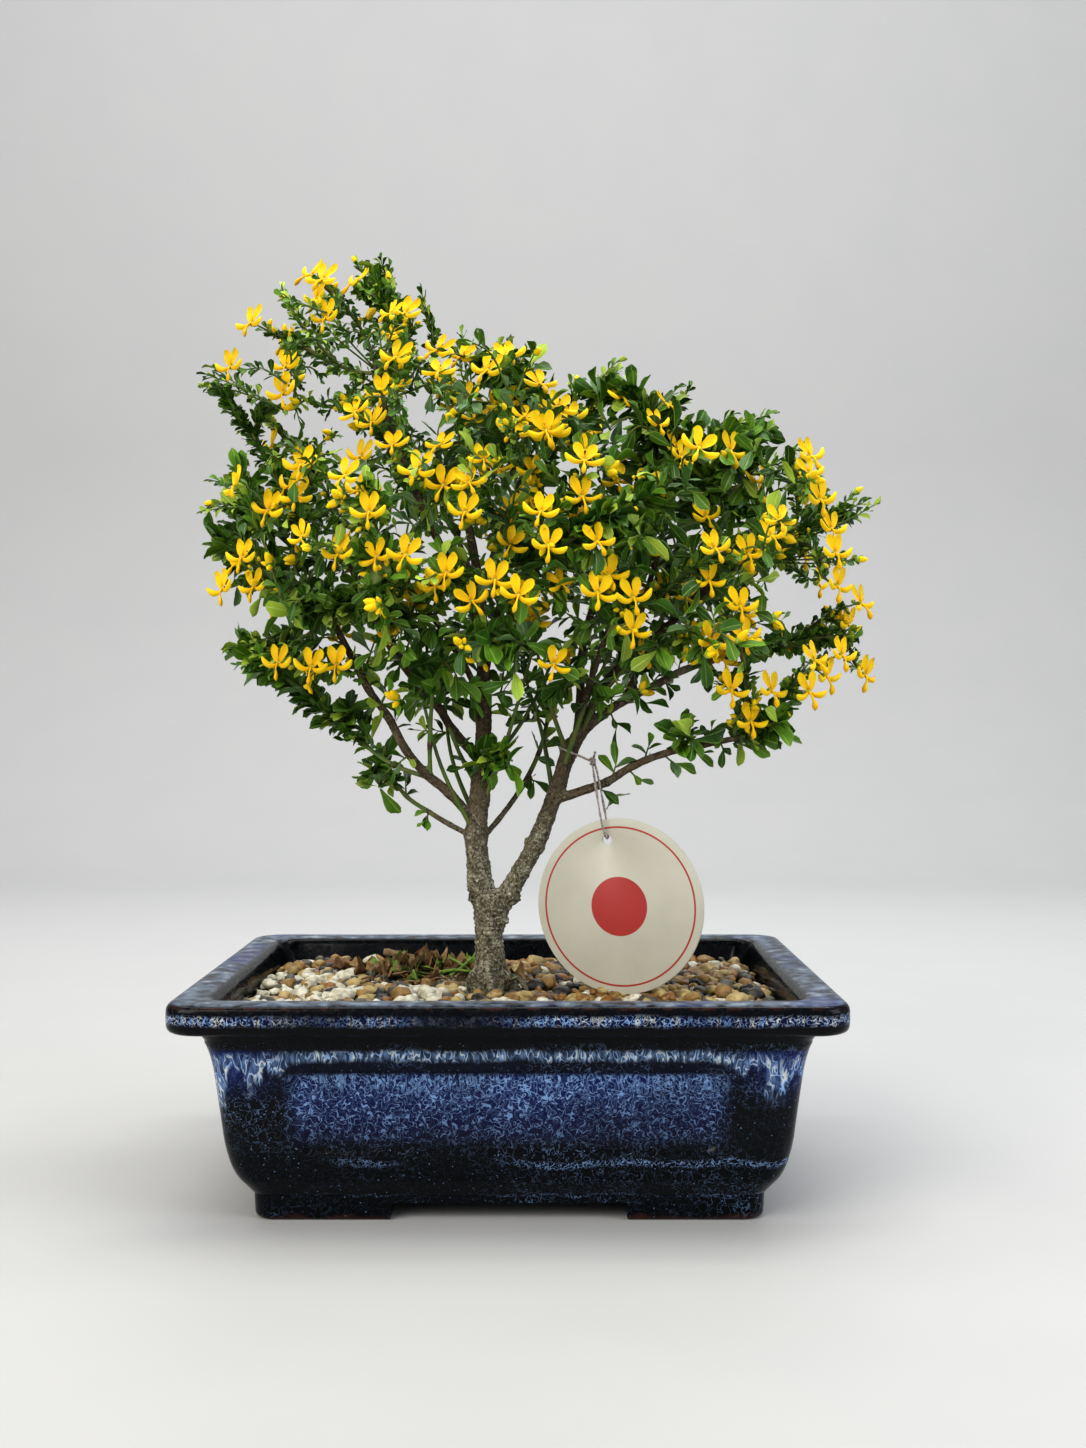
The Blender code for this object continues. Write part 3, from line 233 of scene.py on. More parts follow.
class BonsaiSizes(bpy.types.PropertyGroup):
    """The sizes of the fine parts that the CAD model leaves out."""

    leaf: length("Leaf length", "Length of the leaves on the extra shoots", 8.6, 3, 14)
    leaf_share: percentage("Leaf width", "A leaf's width as a share of its length", 45, 20, 90)
    shoot_step: length("Shoot spacing", "Way between the ends of the crown's extra leafy shoots", 11.5, 6, 40)
    bloom_share: percentage("Extra blooms", "Share of the outer shoots that carry a bloom", 56, 0, 90)
    pebble: length("Pebble size", "Usual width of a pebble in the top dressing", 4.4, 2, 9)
    bark: length("Bark relief", "Height of the bark's wrinkles and ridges", 0.34, 0, 1)
    voxel: length("Bark detail", "Edge of the voxels that the wood is grown together with", 0.52, 0.3, 2)
    twine: length("Twine thickness", "Radius of the tie's twisted twine", 0.45, 0.2, 1)


class BonsaiColours(bpy.types.PropertyGroup):
    """The colours of the bonsai's finishes."""

    glaze_dark: colour("Glaze, dark", "The near-black body of the glaze", "#04060b")
    glaze_blue: colour("Glaze, blue", "The cobalt in the sunk panels", "#182b70")
    glaze_violet: colour("Glaze, violet", "The violet cast low in the panels", "#241f62")
    glaze_light: colour("Glaze, light", "The pale blue threads", "#8db0e0")
    glaze_cream: colour("Glaze, cream", "The cream where the glaze runs off an edge", "#d3d8cf")
    rim: colour("Rim, top", "The greyish blue of the rim's top", "#76869a")
    clay: colour("Clay break", "Brown clay that shows on sharp edges", "#43251a")
    bark_light: colour("Bark, light", "The grey olive of the trunk", "#a09b86")
    bark_dark: colour("Bark, dark", "The furrows of the trunk", "#3a3628")
    limb: colour("Limb", "The browner bark higher up", "#574b3b")
    twig: colour("Twig", "The young green stems", "#55702f")
    leaf_dark: colour("Leaf, dark", "Old glossy leaves", "#294d11")
    leaf_mid: colour("Leaf, middle", "Full-grown leaves", "#467019")
    leaf_fresh: colour("Leaf, fresh", "Young yellow-green leaves", "#95b236")
    leaf_grey: colour("Leaf, greyish", "Leaves with a grey bloom", "#6d8c58")
    petal: colour("Petal", "The petals' saturated yellow", "#f2cb0c")
    petal_base: colour("Petal base", "The deeper yellow at a petal's base", "#dc9c06")
    soil: colour("Soil", "Damp potting mix", "#2b2119")
    card: colour("Card", "Ivory card", "#c3c2b4")
    print_red: colour("Tag, red", "The plain disc and border on the tag", "#a81114")
    twine: colour("Twine", "Greyish twine", "#938986")
    floor: colour("Floor", "The pale floor and backdrop", "#b4b4b3")


def sizes():
    return bpy.context.scene.bonsai_sizes


def colours():
    return bpy.context.scene.bonsai_colours


def clamp(value, low=0.0, high=1.0):
    return max(low, min(high, value))


def ease(value, low, high):
    """0 below low, 1 above high, and a smooth step between."""
    t = clamp((value - low) / (high - low))
    return t * t * (3 - 2 * t)


# Meshes

class Shape:
    """Points, faces, finishes and surface places (u, v) that together make one piece."""

    def __init__(self):
        self.points, self.faces, self.finishes, self.places = [], [], [], []

    def add(self, points, faces, places=None, finish=0):
        """Adds a part, whose finish is one number or a list with one for each face."""
        first = len(self.points)
        self.points.extend(np.asarray(points, float).tolist())
        self.faces.extend([tuple(first + i for i in face) for face in faces])
        self.finishes.extend(finish if isinstance(finish, list) else [finish] * len(faces))
        self.places.extend([(0.5, 0.5)] * len(points) if places is None else np.asarray(places).tolist())


def piece(name, shape, materials, replaced=(), matrix=None):
    """Makes a shape into an object that rides on the CAD model's one body."""
    mesh = bpy.data.meshes.new(name)
    points = np.asarray(shape.points, float) * MM
    if matrix is None:
        points = np.clip(points + MIDDLE, CAD_BOX[0], CAD_BOX[1])
    mesh.from_pydata(points.tolist(), [], shape.faces)
    for material in materials:
        mesh.materials.append(material)
    mesh.polygons.foreach_set("material_index", shape.finishes)
    mesh.polygons.foreach_set("use_smooth", [True] * len(mesh.polygons))
    corners = np.empty(len(mesh.loops), int)
    mesh.loops.foreach_get("vertex_index", corners)
    layer = mesh.uv_layers.new(name="across_and_along")
    layer.data.foreach_set("uv", np.asarray(shape.places, np.float32)[corners].ravel())
    obj = bpy.data.objects.new(name, mesh)
    bpy.context.scene.collection.objects.link(obj)
    if matrix is not None:
        obj.matrix_world = matrix
    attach(obj, "root")
    if replaced:
        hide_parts(*replaced)
    return obj


def worked(obj):
    """The mesh that an object's modifiers make of it."""
    bpy.context.view_layer.update()
    made = obj.evaluated_get(bpy.context.evaluated_depsgraph_get())
    return bpy.data.meshes.new_from_object(made)


def scratch(name, points, faces):
    """An object only for a modifier to work on."""
    mesh = bpy.data.meshes.new(name)
    mesh.from_pydata([tuple(p) for p in points], [], faces)
    obj = bpy.data.objects.new(name, mesh)
    bpy.context.scene.collection.objects.link(obj)
    return obj


def drop(*objects):
    """Removes objects and their meshes."""
    for obj in objects:
        mesh = obj.data
        bpy.data.objects.remove(obj)
        bpy.data.meshes.remove(mesh)


def read_mesh(mesh):
    """A mesh's points and faces."""
    points = np.empty(len(mesh.vertices) * 3)
    mesh.vertices.foreach_get("co", points)
    return points.reshape(-1, 3), [tuple(p.vertices) for p in mesh.polygons]


def smooth_route(points, steps):
    """Points along a Catmull-Rom curve through the given ones."""
    knots = [Vector(p) for p in points]
    knots = [knots[0] * 2 - knots[1], *knots, knots[-1] * 2 - knots[-2]]
    out = []
    for a, b, c, d in zip(knots, knots[1:], knots[2:], knots[3:]):
        for step in range(steps):
            t = step / steps
            out.append(0.5 * ((2 * b) + (c - a) * t + (2 * a - 5 * b + 4 * c - d) * t ** 2
                              + (3 * b - a - 3 * c + d) * t ** 3))
    out.append(knots[-2])
    return out


def frames(route):
    """Each point of a route with its direction and the two directions square to it, which never twist."""
    side = None
    for i, point in enumerate(route):
        ahead = (route[min(i + 1, len(route) - 1)] - route[max(i - 1, 0)]).normalized()
        side = side or ahead.orthogonal()
        side = (side - ahead * side.dot(ahead)).normalized()
        yield point, ahead, side, ahead.cross(side)


def skin(rows, count, closed=True):
    """The faces between rows of points, each count long, which join end to start if closed."""
    faces = []
    for row in range(rows - 1):
        a, b = row * count, (row + 1) * count
        for i in range(count if closed else count - 1):
            j = (i + 1) % count
            faces.append((a + i, a + j, b + j, b + i))
    return faces


def capped(rows, count):
    """The faces of a closed tube with both its ends."""
    return [tuple(range(count))[::-1], tuple(range(count * (rows - 1), count * rows)), *skin(rows, count)]


def tube(route, radii, sides, squash=1.0):
    """A closed tube along a route: its points, faces and places."""
    points, places = [], []
    for i, ((point, _, side, over), radius) in enumerate(zip(frames(route), radii)):
        for k in range(sides):
            a = 2 * math.pi * k / sides
            points.append(point + side * math.cos(a) * radius + over * math.sin(a) * radius * squash)
            places.append((k / sides, i / (len(route) - 1)))
    return points, capped(len(route), sides), places


def loft(rings, caps=True):
    """A skin through rings of the same count: its points and faces."""
    cover = capped if caps else skin
    return [p for ring in rings for p in ring], cover(len(rings), len(rings[0]))


def circle(radius, z, sides, x=0.0, y=0.0):
    """The points of a level circle."""
    turn = 2 * math.pi / sides
    return [(x + radius * math.cos(turn * i), y + radius * math.sin(turn * i), z) for i in range(sides)]


def oblong(x, y, z):
    """The four corners of a rectangle of this half length and half depth."""
    return [(-x, -y, z), (x, -y, z), (x, y, z), (-x, y, z)]


def combine(obj, others, operation):
    """Cuts the others from an object or joins them to it, and removes them all. Returns the mesh."""
    for other in others:
        step = obj.modifiers.new(operation.lower(), "BOOLEAN")
        step.operation, step.object, step.solver = operation, other, "MANIFOLD"
    made = worked(obj)
    drop(obj, *others)
    return made


# Materials

class Finish:
    """A material in the making, with its node tree, its shader and the object's own coordinates."""

    def __init__(self, name, step="LINEAR", **constants):
        self.material = bpy.data.materials.new(name)
        self.material.use_nodes = True
        self.tree = self.material.node_tree
        self.step = step
        self.join(self.tree.nodes["Principled BSDF"], constants)
        self.place = self.add("TexCoord", out="Object")

    def join(self, node, inputs):
        """Links or sets a node's inputs, named with _ for a space or numbered among those in use."""
        used = [socket for socket in node.inputs if socket.enabled]
        for key, value in inputs.items():
            socket = used[key] if isinstance(key, int) else node.inputs[key.replace("_", " ")]
            if isinstance(value, bpy.types.NodeSocket):
                self.tree.links.new(value, socket)
            else:
                socket.default_value = linear(value) if isinstance(value, str) else value

    def add(self, kind, *values, out=0, stops=(), **rest):
        """Adds a node of a kind, which its operation may follow. Values in order and capitalised names are
        inputs, other names settings, and stops a ramp's. Returns the output that out names or numbers."""
        kind, *operation = kind.split()
        node = self.tree.nodes.new("ShaderNode" + kind)
        if operation:
            node.operation = operation[0]
        for name in [name for name in rest if name.islower()]:
            setattr(node, name, rest.pop(name))
        for i, (spot, shade) in enumerate(stops):
            elements = node.color_ramp.elements
            element = elements[i] if i < len(elements) else elements.new(1.0)
            element.position, element.color = spot, linear(shade) if isinstance(shade, str) else shade
        self.join(node, {**dict(enumerate(values)), **rest})
        return node.outputs[out] if isinstance(out, str) else [o for o in node.outputs if o.enabled][out]

    def share(self, *parts):
        """The product of parts, each a socket, a number or (socket, low, high, start, end), which goes from
        start to end while the socket goes from low to high."""
        product = None
        for part in parts:
            if isinstance(part, tuple):
                part = self.add("MapRange", *part, interpolation_type=self.step)
            product = part if product is None else self.add("Math MULTIPLY", product, part)
        return product

    def layer(self, below, above, *parts):
        """Lays one colour over another where all parts of its share are high."""
        return self.add("Mix", self.share(*parts), below, above, data_type="RGBA")

    def away(self, value, middle):
        """How far a value is from a middle one."""
        return self.add("Math ABSOLUTE", self.add("Math SUBTRACT", value, middle))

    def drawn_out(self, place, size, stretch, **rest):
        """A noise of this size in millimetres across, and of the size over stretch in height."""
        laid = self.add("VectorMath MULTIPLY", place, (1, 1, stretch))
        return self.add("TexNoise", Vector=laid, Scale=per(size), **rest)

    def made(self, *bumps, **ends):
        """Ends the material with the shader's linked inputs, and with bumps on each other, each as (height,
        millimetres, strength) with True at the end if it is turned over."""
        for height, depth, strength, *turned in bumps:
            under = {"Normal": ends["Normal"]} if "Normal" in ends else {}
            ends["Normal"] = self.add("Bump", Height=height, Distance=depth * MM, Strength=strength,
                                      invert=bool(turned), **under)
        self.join(self.tree.nodes["Principled BSDF"], {name: self.share(end) for name, end in ends.items()})
        return self.material


def per(millimetres):
    """The texture scale at which a feature is this many millimetres across."""
    return 1 / (millimetres * MM)


def glazed_stoneware():
    """Cobalt over tenmoku, dipped and fired until it ran: a glassy near-black body, threads of pale blue
    that crawl over the panels, a feathered cream fringe below the rim, and brown clay where the glaze thins
    on an edge. Its places on the pot are in metres."""
    c = colours()
    glaze = Finish("glazed_stoneware", "SMOOTHSTEP", IOR=1.5, Specular_IOR_Level=0.16)
    add, share, layer, away = glaze.add, glaze.share, glaze.layer, glaze.away
    local = add("VectorMath ADD", glaze.place, tuple(-MIDDLE))
    x, y, tall = add("SeparateXYZ", local).node.outputs
    across, deep = add("Math ABSOLUTE", x), add("Math ABSOLUTE", y)

    # Threads of crystal are the lines where a noise crosses its middle. The real ones are 0.3 mm wide, too
    # fine for the render, so these are half as wide again.
    def threads(size, thin, wide, stretch=1.0):
        pattern = glaze.drawn_out(local, size, stretch, Detail=1.0, Distortion=0.9)
        return share((away(pattern, 0.5), thin, wide, 1, 0))

    wander, patches, mottle, haze = [add("TexNoise", Vector=local, Scale=per(size), Detail=detail)
                                     for size, detail in ((11, 2), (26, 2), (5, 4), (60, 1))]
    height = add("Math MULTIPLY_ADD", add("Math SUBTRACT", wander, 0.5), 0.005, tall)
    fine, small = threads(2.2, 0.009, 0.036), threads(1.5, 0.014, 0.048)
    upright = threads(2.1, 0.014, 0.055, 0.42)
    # The panels: navy above, violet below, and black round their borders, which is partly the glaze breaking
    # on the edge and partly painted shade under the sunk panel's rim.
    # The colour stops a few millimetres inside the sunk panel's edges, so that border is partly painted shade.
    panel = add("Math MAXIMUM", share((across, 0.0615, 0.0685, 1, 0)), share((deep, 0.036, 0.043, 1, 0)))
    panel = share(panel, (tall, 0.0235, 0.0275), (tall, 0.0458, 0.0480, 1, 0))
    wash = layer(c.glaze_violet, c.glaze_blue, (height, 0.022, 0.042))
    base = layer(c.glaze_dark, wash, panel, (height, 0.021, 0.044, 0.08, 0.45), (patches, 0.3, 0.62, 0.5, 1))
    for parts in ((upright, (height, 0.037, 0.0455, 0, 0.38)),
                  (fine, (height, 0.020, 0.044, 0.14, 0.72), (patches, 0.3, 0.6, 0.6, 1)),
                  (small, (height, 0.024, 0.045, 0.05, 0.16))):
        base = layer(base, c.glaze_light, panel, *parts)
    # Elsewhere on the body: a few threads where the glaze is thicker, specks, and a pale line on each ledge.
    outside = add("Math SUBTRACT", 1.0, panel)
    bare = share(outside, (tall, 0.056, 0.058, 1, 0))
    specks = add("TexVoronoi", Vector=glaze.place, Scale=per(1.7), out="Distance")
    base = layer(base, c.glaze_light, bare, fine, (patches, 0.42, 0.68, 0.02, 0.20))
    base = layer(base, c.glaze_light, bare, (specks, 0.06, 0.17, 0.5, 0), (mottle, 0.42, 0.56))
    for ledge, half, strength in ((0.0195, 0.0016, 0.55), (0.0082, 0.0006, 0.4)):
        line = share((away(height, ledge), half * 0.3, half, 1, 0))
        base = layer(base, c.glaze_light, line, small, (haze, 0.42, 0.58, 0, strength))
    # The feathered fringe of hair strokes, which runs lower at the pot's corners.
    corner = add("Math MULTIPLY", across, 1 / 0.1015)
    corner = share((add("Math MULTIPLY_ADD", deep, 1 / 0.076, corner), 1.42, 1.72))
    lock, hair = glaze.drawn_out(local, 7, 0.3, Detail=2), glaze.drawn_out(local, 1.3, 0.2, Detail=3)
    run = share(corner, (lock, 0.34, 0.66, 0.001, 0.012))
    middle = add("Math SUBTRACT", add("Math MULTIPLY_ADD", lock, 0.0026, 0.0517), run)
    near = add("Math DIVIDE", away(tall, middle), add("Math MULTIPLY_ADD", run, 0.75, 0.0021))
    base = layer(base, c.glaze_blue, (tall, 0.036, 0.0525), (tall, 0.0535, 0.0555, 1, 0),
                 (corner, 0, 1, 0.08, 0.75), (hair, 0.3, 0.62, 0.35, 1), outside)
    pale = layer(c.glaze_light, c.glaze_cream, (hair, 0.42, 0.6))
    fringe = share((near, 0.15, 1.15, 1, 0))
    base = layer(base, c.glaze_light, fringe, (hair, 0.40, 0.68, 0.08, 0.5))
    base = layer(base, pale, fringe, upright, 0.85)
    # The rim: a black band with pale threads low on it, and a mottled grey-blue top.
    outer = add("Math MAXIMUM", share((across, 0.0925, 0.0935)), share((deep, 0.067, 0.068)))
    band = share(outer, (tall, 0.0570, 0.0585))
    base = layer(base, c.glaze_dark, band)
    line = away(add("Math MULTIPLY_ADD", wander, 0.0022, tall), 0.0664)
    line = share((line, 0.0005, 0.0021, 1, 0))
    base = layer(base, c.glaze_blue, band, line, (haze, 0.38, 0.58, 0.04, 0.22))
    base = layer(base, pale, band, line, add("Math MAXIMUM", small, fine), (haze, 0.43, 0.60, 0.06, 0.68))
    top = layer(c.glaze_dark, c.rim, (mottle, 0.38, 0.58, 0.06, 0.60))
    top = layer(top, c.glaze_cream, (mottle, 0.56, 0.72, 0, 0.32))
    top = layer(top, c.glaze_blue, (patches, 0.54, 0.7, 0, 0.4))
    flat = share((tall, 0.0692, 0.0699))
    base = layer(base, top, flat)
    # The clay breaks through on the rim's outer edge and under the feet.
    base = layer(base, c.clay, outer, (tall, 0.0683, 0.0688), (tall, 0.0691, 0.0696, 1, 0),
                 (mottle, 0.46, 0.60, 0, 0.4))
    base = layer(base, c.clay, (height, -0.0003, 0.0022, 0.8, 0))
    satin = add("MapRange", mottle, 0.3, 0.7, 0.09, 0.2)
    return glaze.made((wander, 0.6, 0.3), (fine, 0.06, 0.5), Base_Color=base,
                      Roughness=add("Math MULTIPLY_ADD", flat, 0.2, satin))


def mineral(name, light, dark, rough, grain):
    """A river pebble, tumbled and damp: two tones in blotches a few millimetres wide, with a fine grain."""
    stone = Finish(name, IOR=1.5)
    blotch = stone.add("TexNoise", Vector=stone.place, Scale=per(grain), Detail=5, Roughness=0.62)
    shade = stone.add("ValToRGB", blotch, stops=((0.34, dark), (0.60, light)))
    speck = stone.add("TexVoronoi", Vector=stone.place, Scale=per(0.7), out="Distance")
    shade = stone.layer(shade, dark, (speck, 0.08, 0.22, 0.35, 0))
    return stone.made((blotch, 0.2, 0.5), Base_Color=shade,
                      Roughness=(blotch, 0.3, 0.7, rough - 0.1, rough + 0.1))


def potting_soil():
    """Sieved loam and bark fines, damp: a dark matt crumb 1 to 2 mm across with paler grit."""
    soil = Finish("potting_soil", Roughness=0.93, IOR=1.4)
    crumb = soil.add("TexVoronoi", Vector=soil.place, Scale=per(1.6), out="Distance")
    tone = soil.add("TexNoise", Vector=soil.place, Scale=per(2.5), Detail=5)
    shade = soil.add("ValToRGB", tone, stops=((0.35, "#150f0b"), (0.58, colours().soil), (0.72, "#6b5136")))
    return soil.made((crumb, 0.8, 0.8), Base_Color=shade)


def moulded_polythene():
    """Black polythene screen, injection moulded: an even satin with a fine pebbled skin, 0.6 mm."""
    screen = Finish("moulded_polythene", Base_Color="#17181a", IOR=1.51)
    skin = screen.add("TexNoise", Vector=screen.place, Scale=per(0.6), Detail=2)
    return screen.made((skin, 0.1, 0.4), Roughness=(skin, 0.3, 0.7, 0.38, 0.55))


def broom_bark():
    """Bark of an old broom trunk: grey-olive and matt, peppered dark, with pale flecks that are painted
    highlights, with level wrinkles and upright cracks about 4 mm apart, and turning to dark brown on the
    limbs."""
    c = colours()
    bark = Finish("broom_bark", IOR=1.45, Specular_IOR_Level=0.25)
    add, layer, place = bark.add, bark.layer, bark.place
    mottle = add("TexNoise", Vector=place, Scale=per(6), Detail=5, Roughness=0.7, Distortion=0.6)
    pepper = add("TexNoise", Vector=place, Scale=per(0.85), Detail=3, Roughness=0.75, Distortion=0.6)
    wrinkle = bark.drawn_out(place, 3.6, 3.4, Detail=3, Roughness=0.6, Distortion=0.6)
    crack = bark.away(bark.drawn_out(place, 4.2, 0.5, Detail=3, Roughness=0.6, Distortion=0.6), 0.5)
    trunk = layer(c.bark_light, "#6a6754", (mottle, 0.38, 0.60))
    # Over the mottle: dark pepper flecks, pale flecks that are painted highlights, darker wrinkles and dark
    # cracks.
    for shade, *part in ((c.bark_dark, pepper, 0.52, 0.60, 0, 0.95), ("#cdcbb9", pepper, 0.44, 0.36, 0, 0.7),
                         ("#4a4636", wrinkle, 0.47, 0.38, 0, 0.6), ("#2c281d", crack, 0.022, 0.008, 0, 0.75)):
        trunk = layer(trunk, shade, tuple(part))
    limb = add("ValToRGB", mottle, stops=((0.34, "#241d15"), (0.52, c.limb), (0.70, "#6f6452")))
    limb = layer(limb, "#a39b85", (pepper, 0.42, 0.34, 0, 0.4))
    limb = layer(limb, "#231b13", (pepper, 0.55, 0.64, 0, 0.6))
    tall = add("SeparateXYZ", place, out=2)
    height = add("Math MULTIPLY_ADD", mottle, 0.06, tall)
    shade = layer(trunk, limb, add("MapRange", height, 0.118, 0.176, interpolation_type="SMOOTHSTEP"))
    shade = layer(shade, "#2f2718", (tall, 0.071, 0.061, 0, 0.5))
    split = add("MapRange", crack, 0.0, 0.03)
    return bark.made((pepper, 0.3, 0.6, True), (wrinkle, 0.9, 0.6), (split, 0.3, 0.7), Base_Color=shade,
                     Roughness=(mottle, 0.3, 0.7, 0.72, 0.94))


def green_twig():
    """Young broom stem: thin green skin, browner in patches, with a waxy half-gloss and ribs 0.6 mm apart."""
    twig = Finish("green_twig", IOR=1.45, Specular_IOR_Level=0.4)
    tone = twig.add("TexNoise", Vector=twig.place, Scale=per(9), Detail=4)
    rib = twig.add("TexNoise", Vector=twig.place, Scale=per(0.6), Detail=2)
    shade = twig.add("ValToRGB", tone, stops=((0.32, "#3d4a22"), (0.5, colours().twig), (0.66, "#6d6a3c")))
    return twig.made((rib, 0.1, 0.5), Base_Color=shade, Roughness=(tone, 0.3, 0.7, 0.42, 0.66))


def leaf_blade(name, body, pale, edge, rough):
    """A leathery little leaf with a waxed face: a paler midrib and side veins, a thin pale margin, a broken
    gloss and some light that comes through it."""
    leaf = Finish(name, IOR=1.45, Specular_IOR_Level=0.30, Subsurface_Weight=0.14,
                  Subsurface_Radius=(0.5, 1.0, 0.2), Subsurface_Scale=0.001)
    add = leaf.add
    across, along, _ = add("SeparateXYZ", add("TexCoord", out="UV")).node.outputs
    off = leaf.away(across, 0.5)
    tone = add("TexNoise", Vector=leaf.place, Scale=per(7), Detail=2)
    cloud = add("TexNoise", Vector=leaf.place, Scale=per(28), Detail=1)
    shade = leaf.layer(body, pale, (tone, 0.36, 0.66))
    shade = add("VectorMath SCALE", shade, add("MapRange", cloud, 0.35, 0.65, 0.62, 1.18))
    # Side veins leave the midrib at a slant, about eight to a leaf.
    slant = add("Math MULTIPLY", add("Math MULTIPLY_ADD", off, -1.1, along), 50.0)
    vein = leaf.share((add("Math SINE", slant), 0.75, 1, 0, 0.28))
    lines = add("Math MAXIMUM", vein, leaf.share((off, 0.02, 0.07, 0.62, 0)))
    lines = add("Math MAXIMUM", lines, leaf.share((off, 0.42, 0.5, 0, 0.6)))
    return leaf.made((lines, 0.2, 0.5, True), Base_Color=leaf.layer(shade, edge, lines),
                     Roughness=(tone, 0.3, 0.7, rough - 0.08, rough + 0.12))


def broom_petal():
    """A broom's petal: saturated yellow, deeper towards its base, with faint lengthwise veins, soft and
    almost matt, and lit from behind as thin petals are."""
    c = colours()
    petal = Finish("broom_petal", IOR=1.4, Roughness=0.55, Specular_IOR_Level=0.2, Sheen_Weight=0.05,
                   Subsurface_Weight=0.3, Subsurface_Radius=(1.0, 0.7, 0.1), Subsurface_Scale=0.0015)
    add = petal.add
    across, along, _ = add("SeparateXYZ", add("TexCoord", out="UV")).node.outputs
    shade = add("ValToRGB", along,
                stops=((0, c.petal_base), (0.16, "#ecba06"), (0.55, c.petal), (1, "#f8d81e")))
    vein = add("Math SINE", add("Math MULTIPLY", across, 44.0))
    vein = petal.share((vein, 0.6, 1, 0, 0.12))
    shade = petal.layer(shade, c.petal_base, vein)
    tone = add("TexNoise", Vector=petal.place, Scale=per(16), Detail=2)
    shade = add("VectorMath SCALE", shade, add("MapRange", tone, 0.35, 0.65, 0.80, 0.98))
    return petal.made((vein, 0.1, 0.4), Base_Color=shade)


def coated_card():
    """Ivory card, die cut and lightly coated: smooth, with a faint fibre 0.8 mm long and slightly smudged.
    A plain disc and a thin border are its only print."""
    c = colours()
    card = Finish("coated_card", IOR=1.48, Specular_IOR_Level=0.4)
    add, layer = card.add, card.layer
    far = add("VectorMath LENGTH", add("VectorMath MULTIPLY", card.place, (1, 1, 0)))
    fibre = add("TexNoise", Vector=card.place, Scale=per(0.8), Detail=4)
    smudge = add("TexNoise", Vector=card.place, Scale=per(22), Detail=3)
    shade = layer(c.card, "#aeaea0", (smudge, 0.4, 0.7, 0, 0.5))
    shade = layer(shade, "#a9a99a", (fibre, 0.62, 0.74, 0, 0.25))
    front = add("Math GREATER_THAN", add("SeparateXYZ", card.place, out=2), 0.0004)
    for middle, half in ((0.0, 0.0098), (0.0262, 0.0003)):
        gap = card.away(far, middle)
        shade = layer(shade, c.print_red, (gap, half - 0.0001, half + 0.0001, 0.94, 0), front)
    return card.made((fibre, 0.06, 0.35), Base_Color=shade, Roughness=(smudge, 0.3, 0.7, 0.36, 0.5))


def spun_twine():
    """Two-ply jute twine, spun and unbleached: matt grey-brown with paler and darker fibres 0.5 mm wide."""
    twine = Finish("spun_twine", Roughness=0.88, IOR=1.5, Sheen_Weight=0.3)
    fibre = twine.add("TexNoise", Vector=twine.place, Scale=per(0.5), Detail=4, Roughness=0.7)
    shade = twine.add("ValToRGB", fibre, stops=((0.32, "#5c5450"), (0.5, colours().twine), (0.68, "#c4bcb6")))
    return twine.made((fibre, 0.2, 0.6), Base_Color=shade)


def dry_litter(name, light, dark):
    """A dead leaf or twig, dried brown and curled: matt, blotched, with darker veins 2 mm apart."""
    litter = Finish(name, Roughness=0.82, IOR=1.4, Specular_IOR_Level=0.3)
    tone = litter.add("TexNoise", Vector=litter.place, Scale=per(2), Detail=6, Roughness=0.7)
    shade = litter.add("ValToRGB", tone, stops=((0.34, dark), (0.64, light)))
    return litter.made((tone, 0.4, 0.6), Base_Color=shade)


def painted_board():
    """Matt emulsion on a board for the floor and backdrop, rolled: even and pale with a very faint mottle."""
    board = Finish("painted_board", Roughness=0.62, IOR=1.45, Specular_IOR_Level=0.25)
    tone = board.add("TexNoise", Vector=board.place, Scale=per(60), Detail=3)
    return board.made(Base_Color=board.layer(colours().floor, "#abacad", (tone, 0.3, 0.7, 0, 0.2)))


def shared(name, maker, *values):
    """The material of this name, made the first time that it is asked for."""
    return bpy.data.materials.get(name) or maker(*values)


def foliage_finishes():
    """The finishes of every leafy piece, in the order that its faces name them."""
    c = colours()
    leaves = (
        ("leaf_old", c.leaf_dark, "#3a6617", "#7f9f4a", 0.34),
        ("leaf_grown", c.leaf_mid, "#5e8922", "#9cb858", 0.38),
        ("leaf_young", c.leaf_fresh, "#a6c043", "#c6d880", 0.42),
        ("leaf_hoary", c.leaf_grey, "#4a7040", "#9db788", 0.5),
    )
    return [shared("green_twig", green_twig), *(shared(leaf[0], leaf_blade, *leaf) for leaf in leaves),
            shared("broom_petal", broom_petal)]


STEM, OLD, GROWN, YOUNG, HOARY, PETAL = range(6)


# Leaves and blooms

# How far along a leaf each row of points lies, and the leaf's half width there.
LEAF_ROWS = ((0.0, 0.07), (0.22, 0.22), (0.48, 0.42), (0.72, 0.50), (0.90, 0.44), (1.0, 0.26))


def leaf_grid(columns, fold, arch, wave=0.0):
    """An obovate blade of unit length and width: its points as (along, across, up), faces and places."""
    points, places = [], []
    for t, half in LEAF_ROWS:
        for column in range(columns + 1):
            s = 2 * column / columns - 1
            up = fold * abs(s) * half - arch * t * t + wave * s * half * math.sin(6 * t)
            points.append((t - 0.09 * s * s * t ** 4, s * half, up))
            places.append((0.5 + 0.5 * s, t))
    return np.array(points), skin(len(LEAF_ROWS), columns + 1, closed=False), places


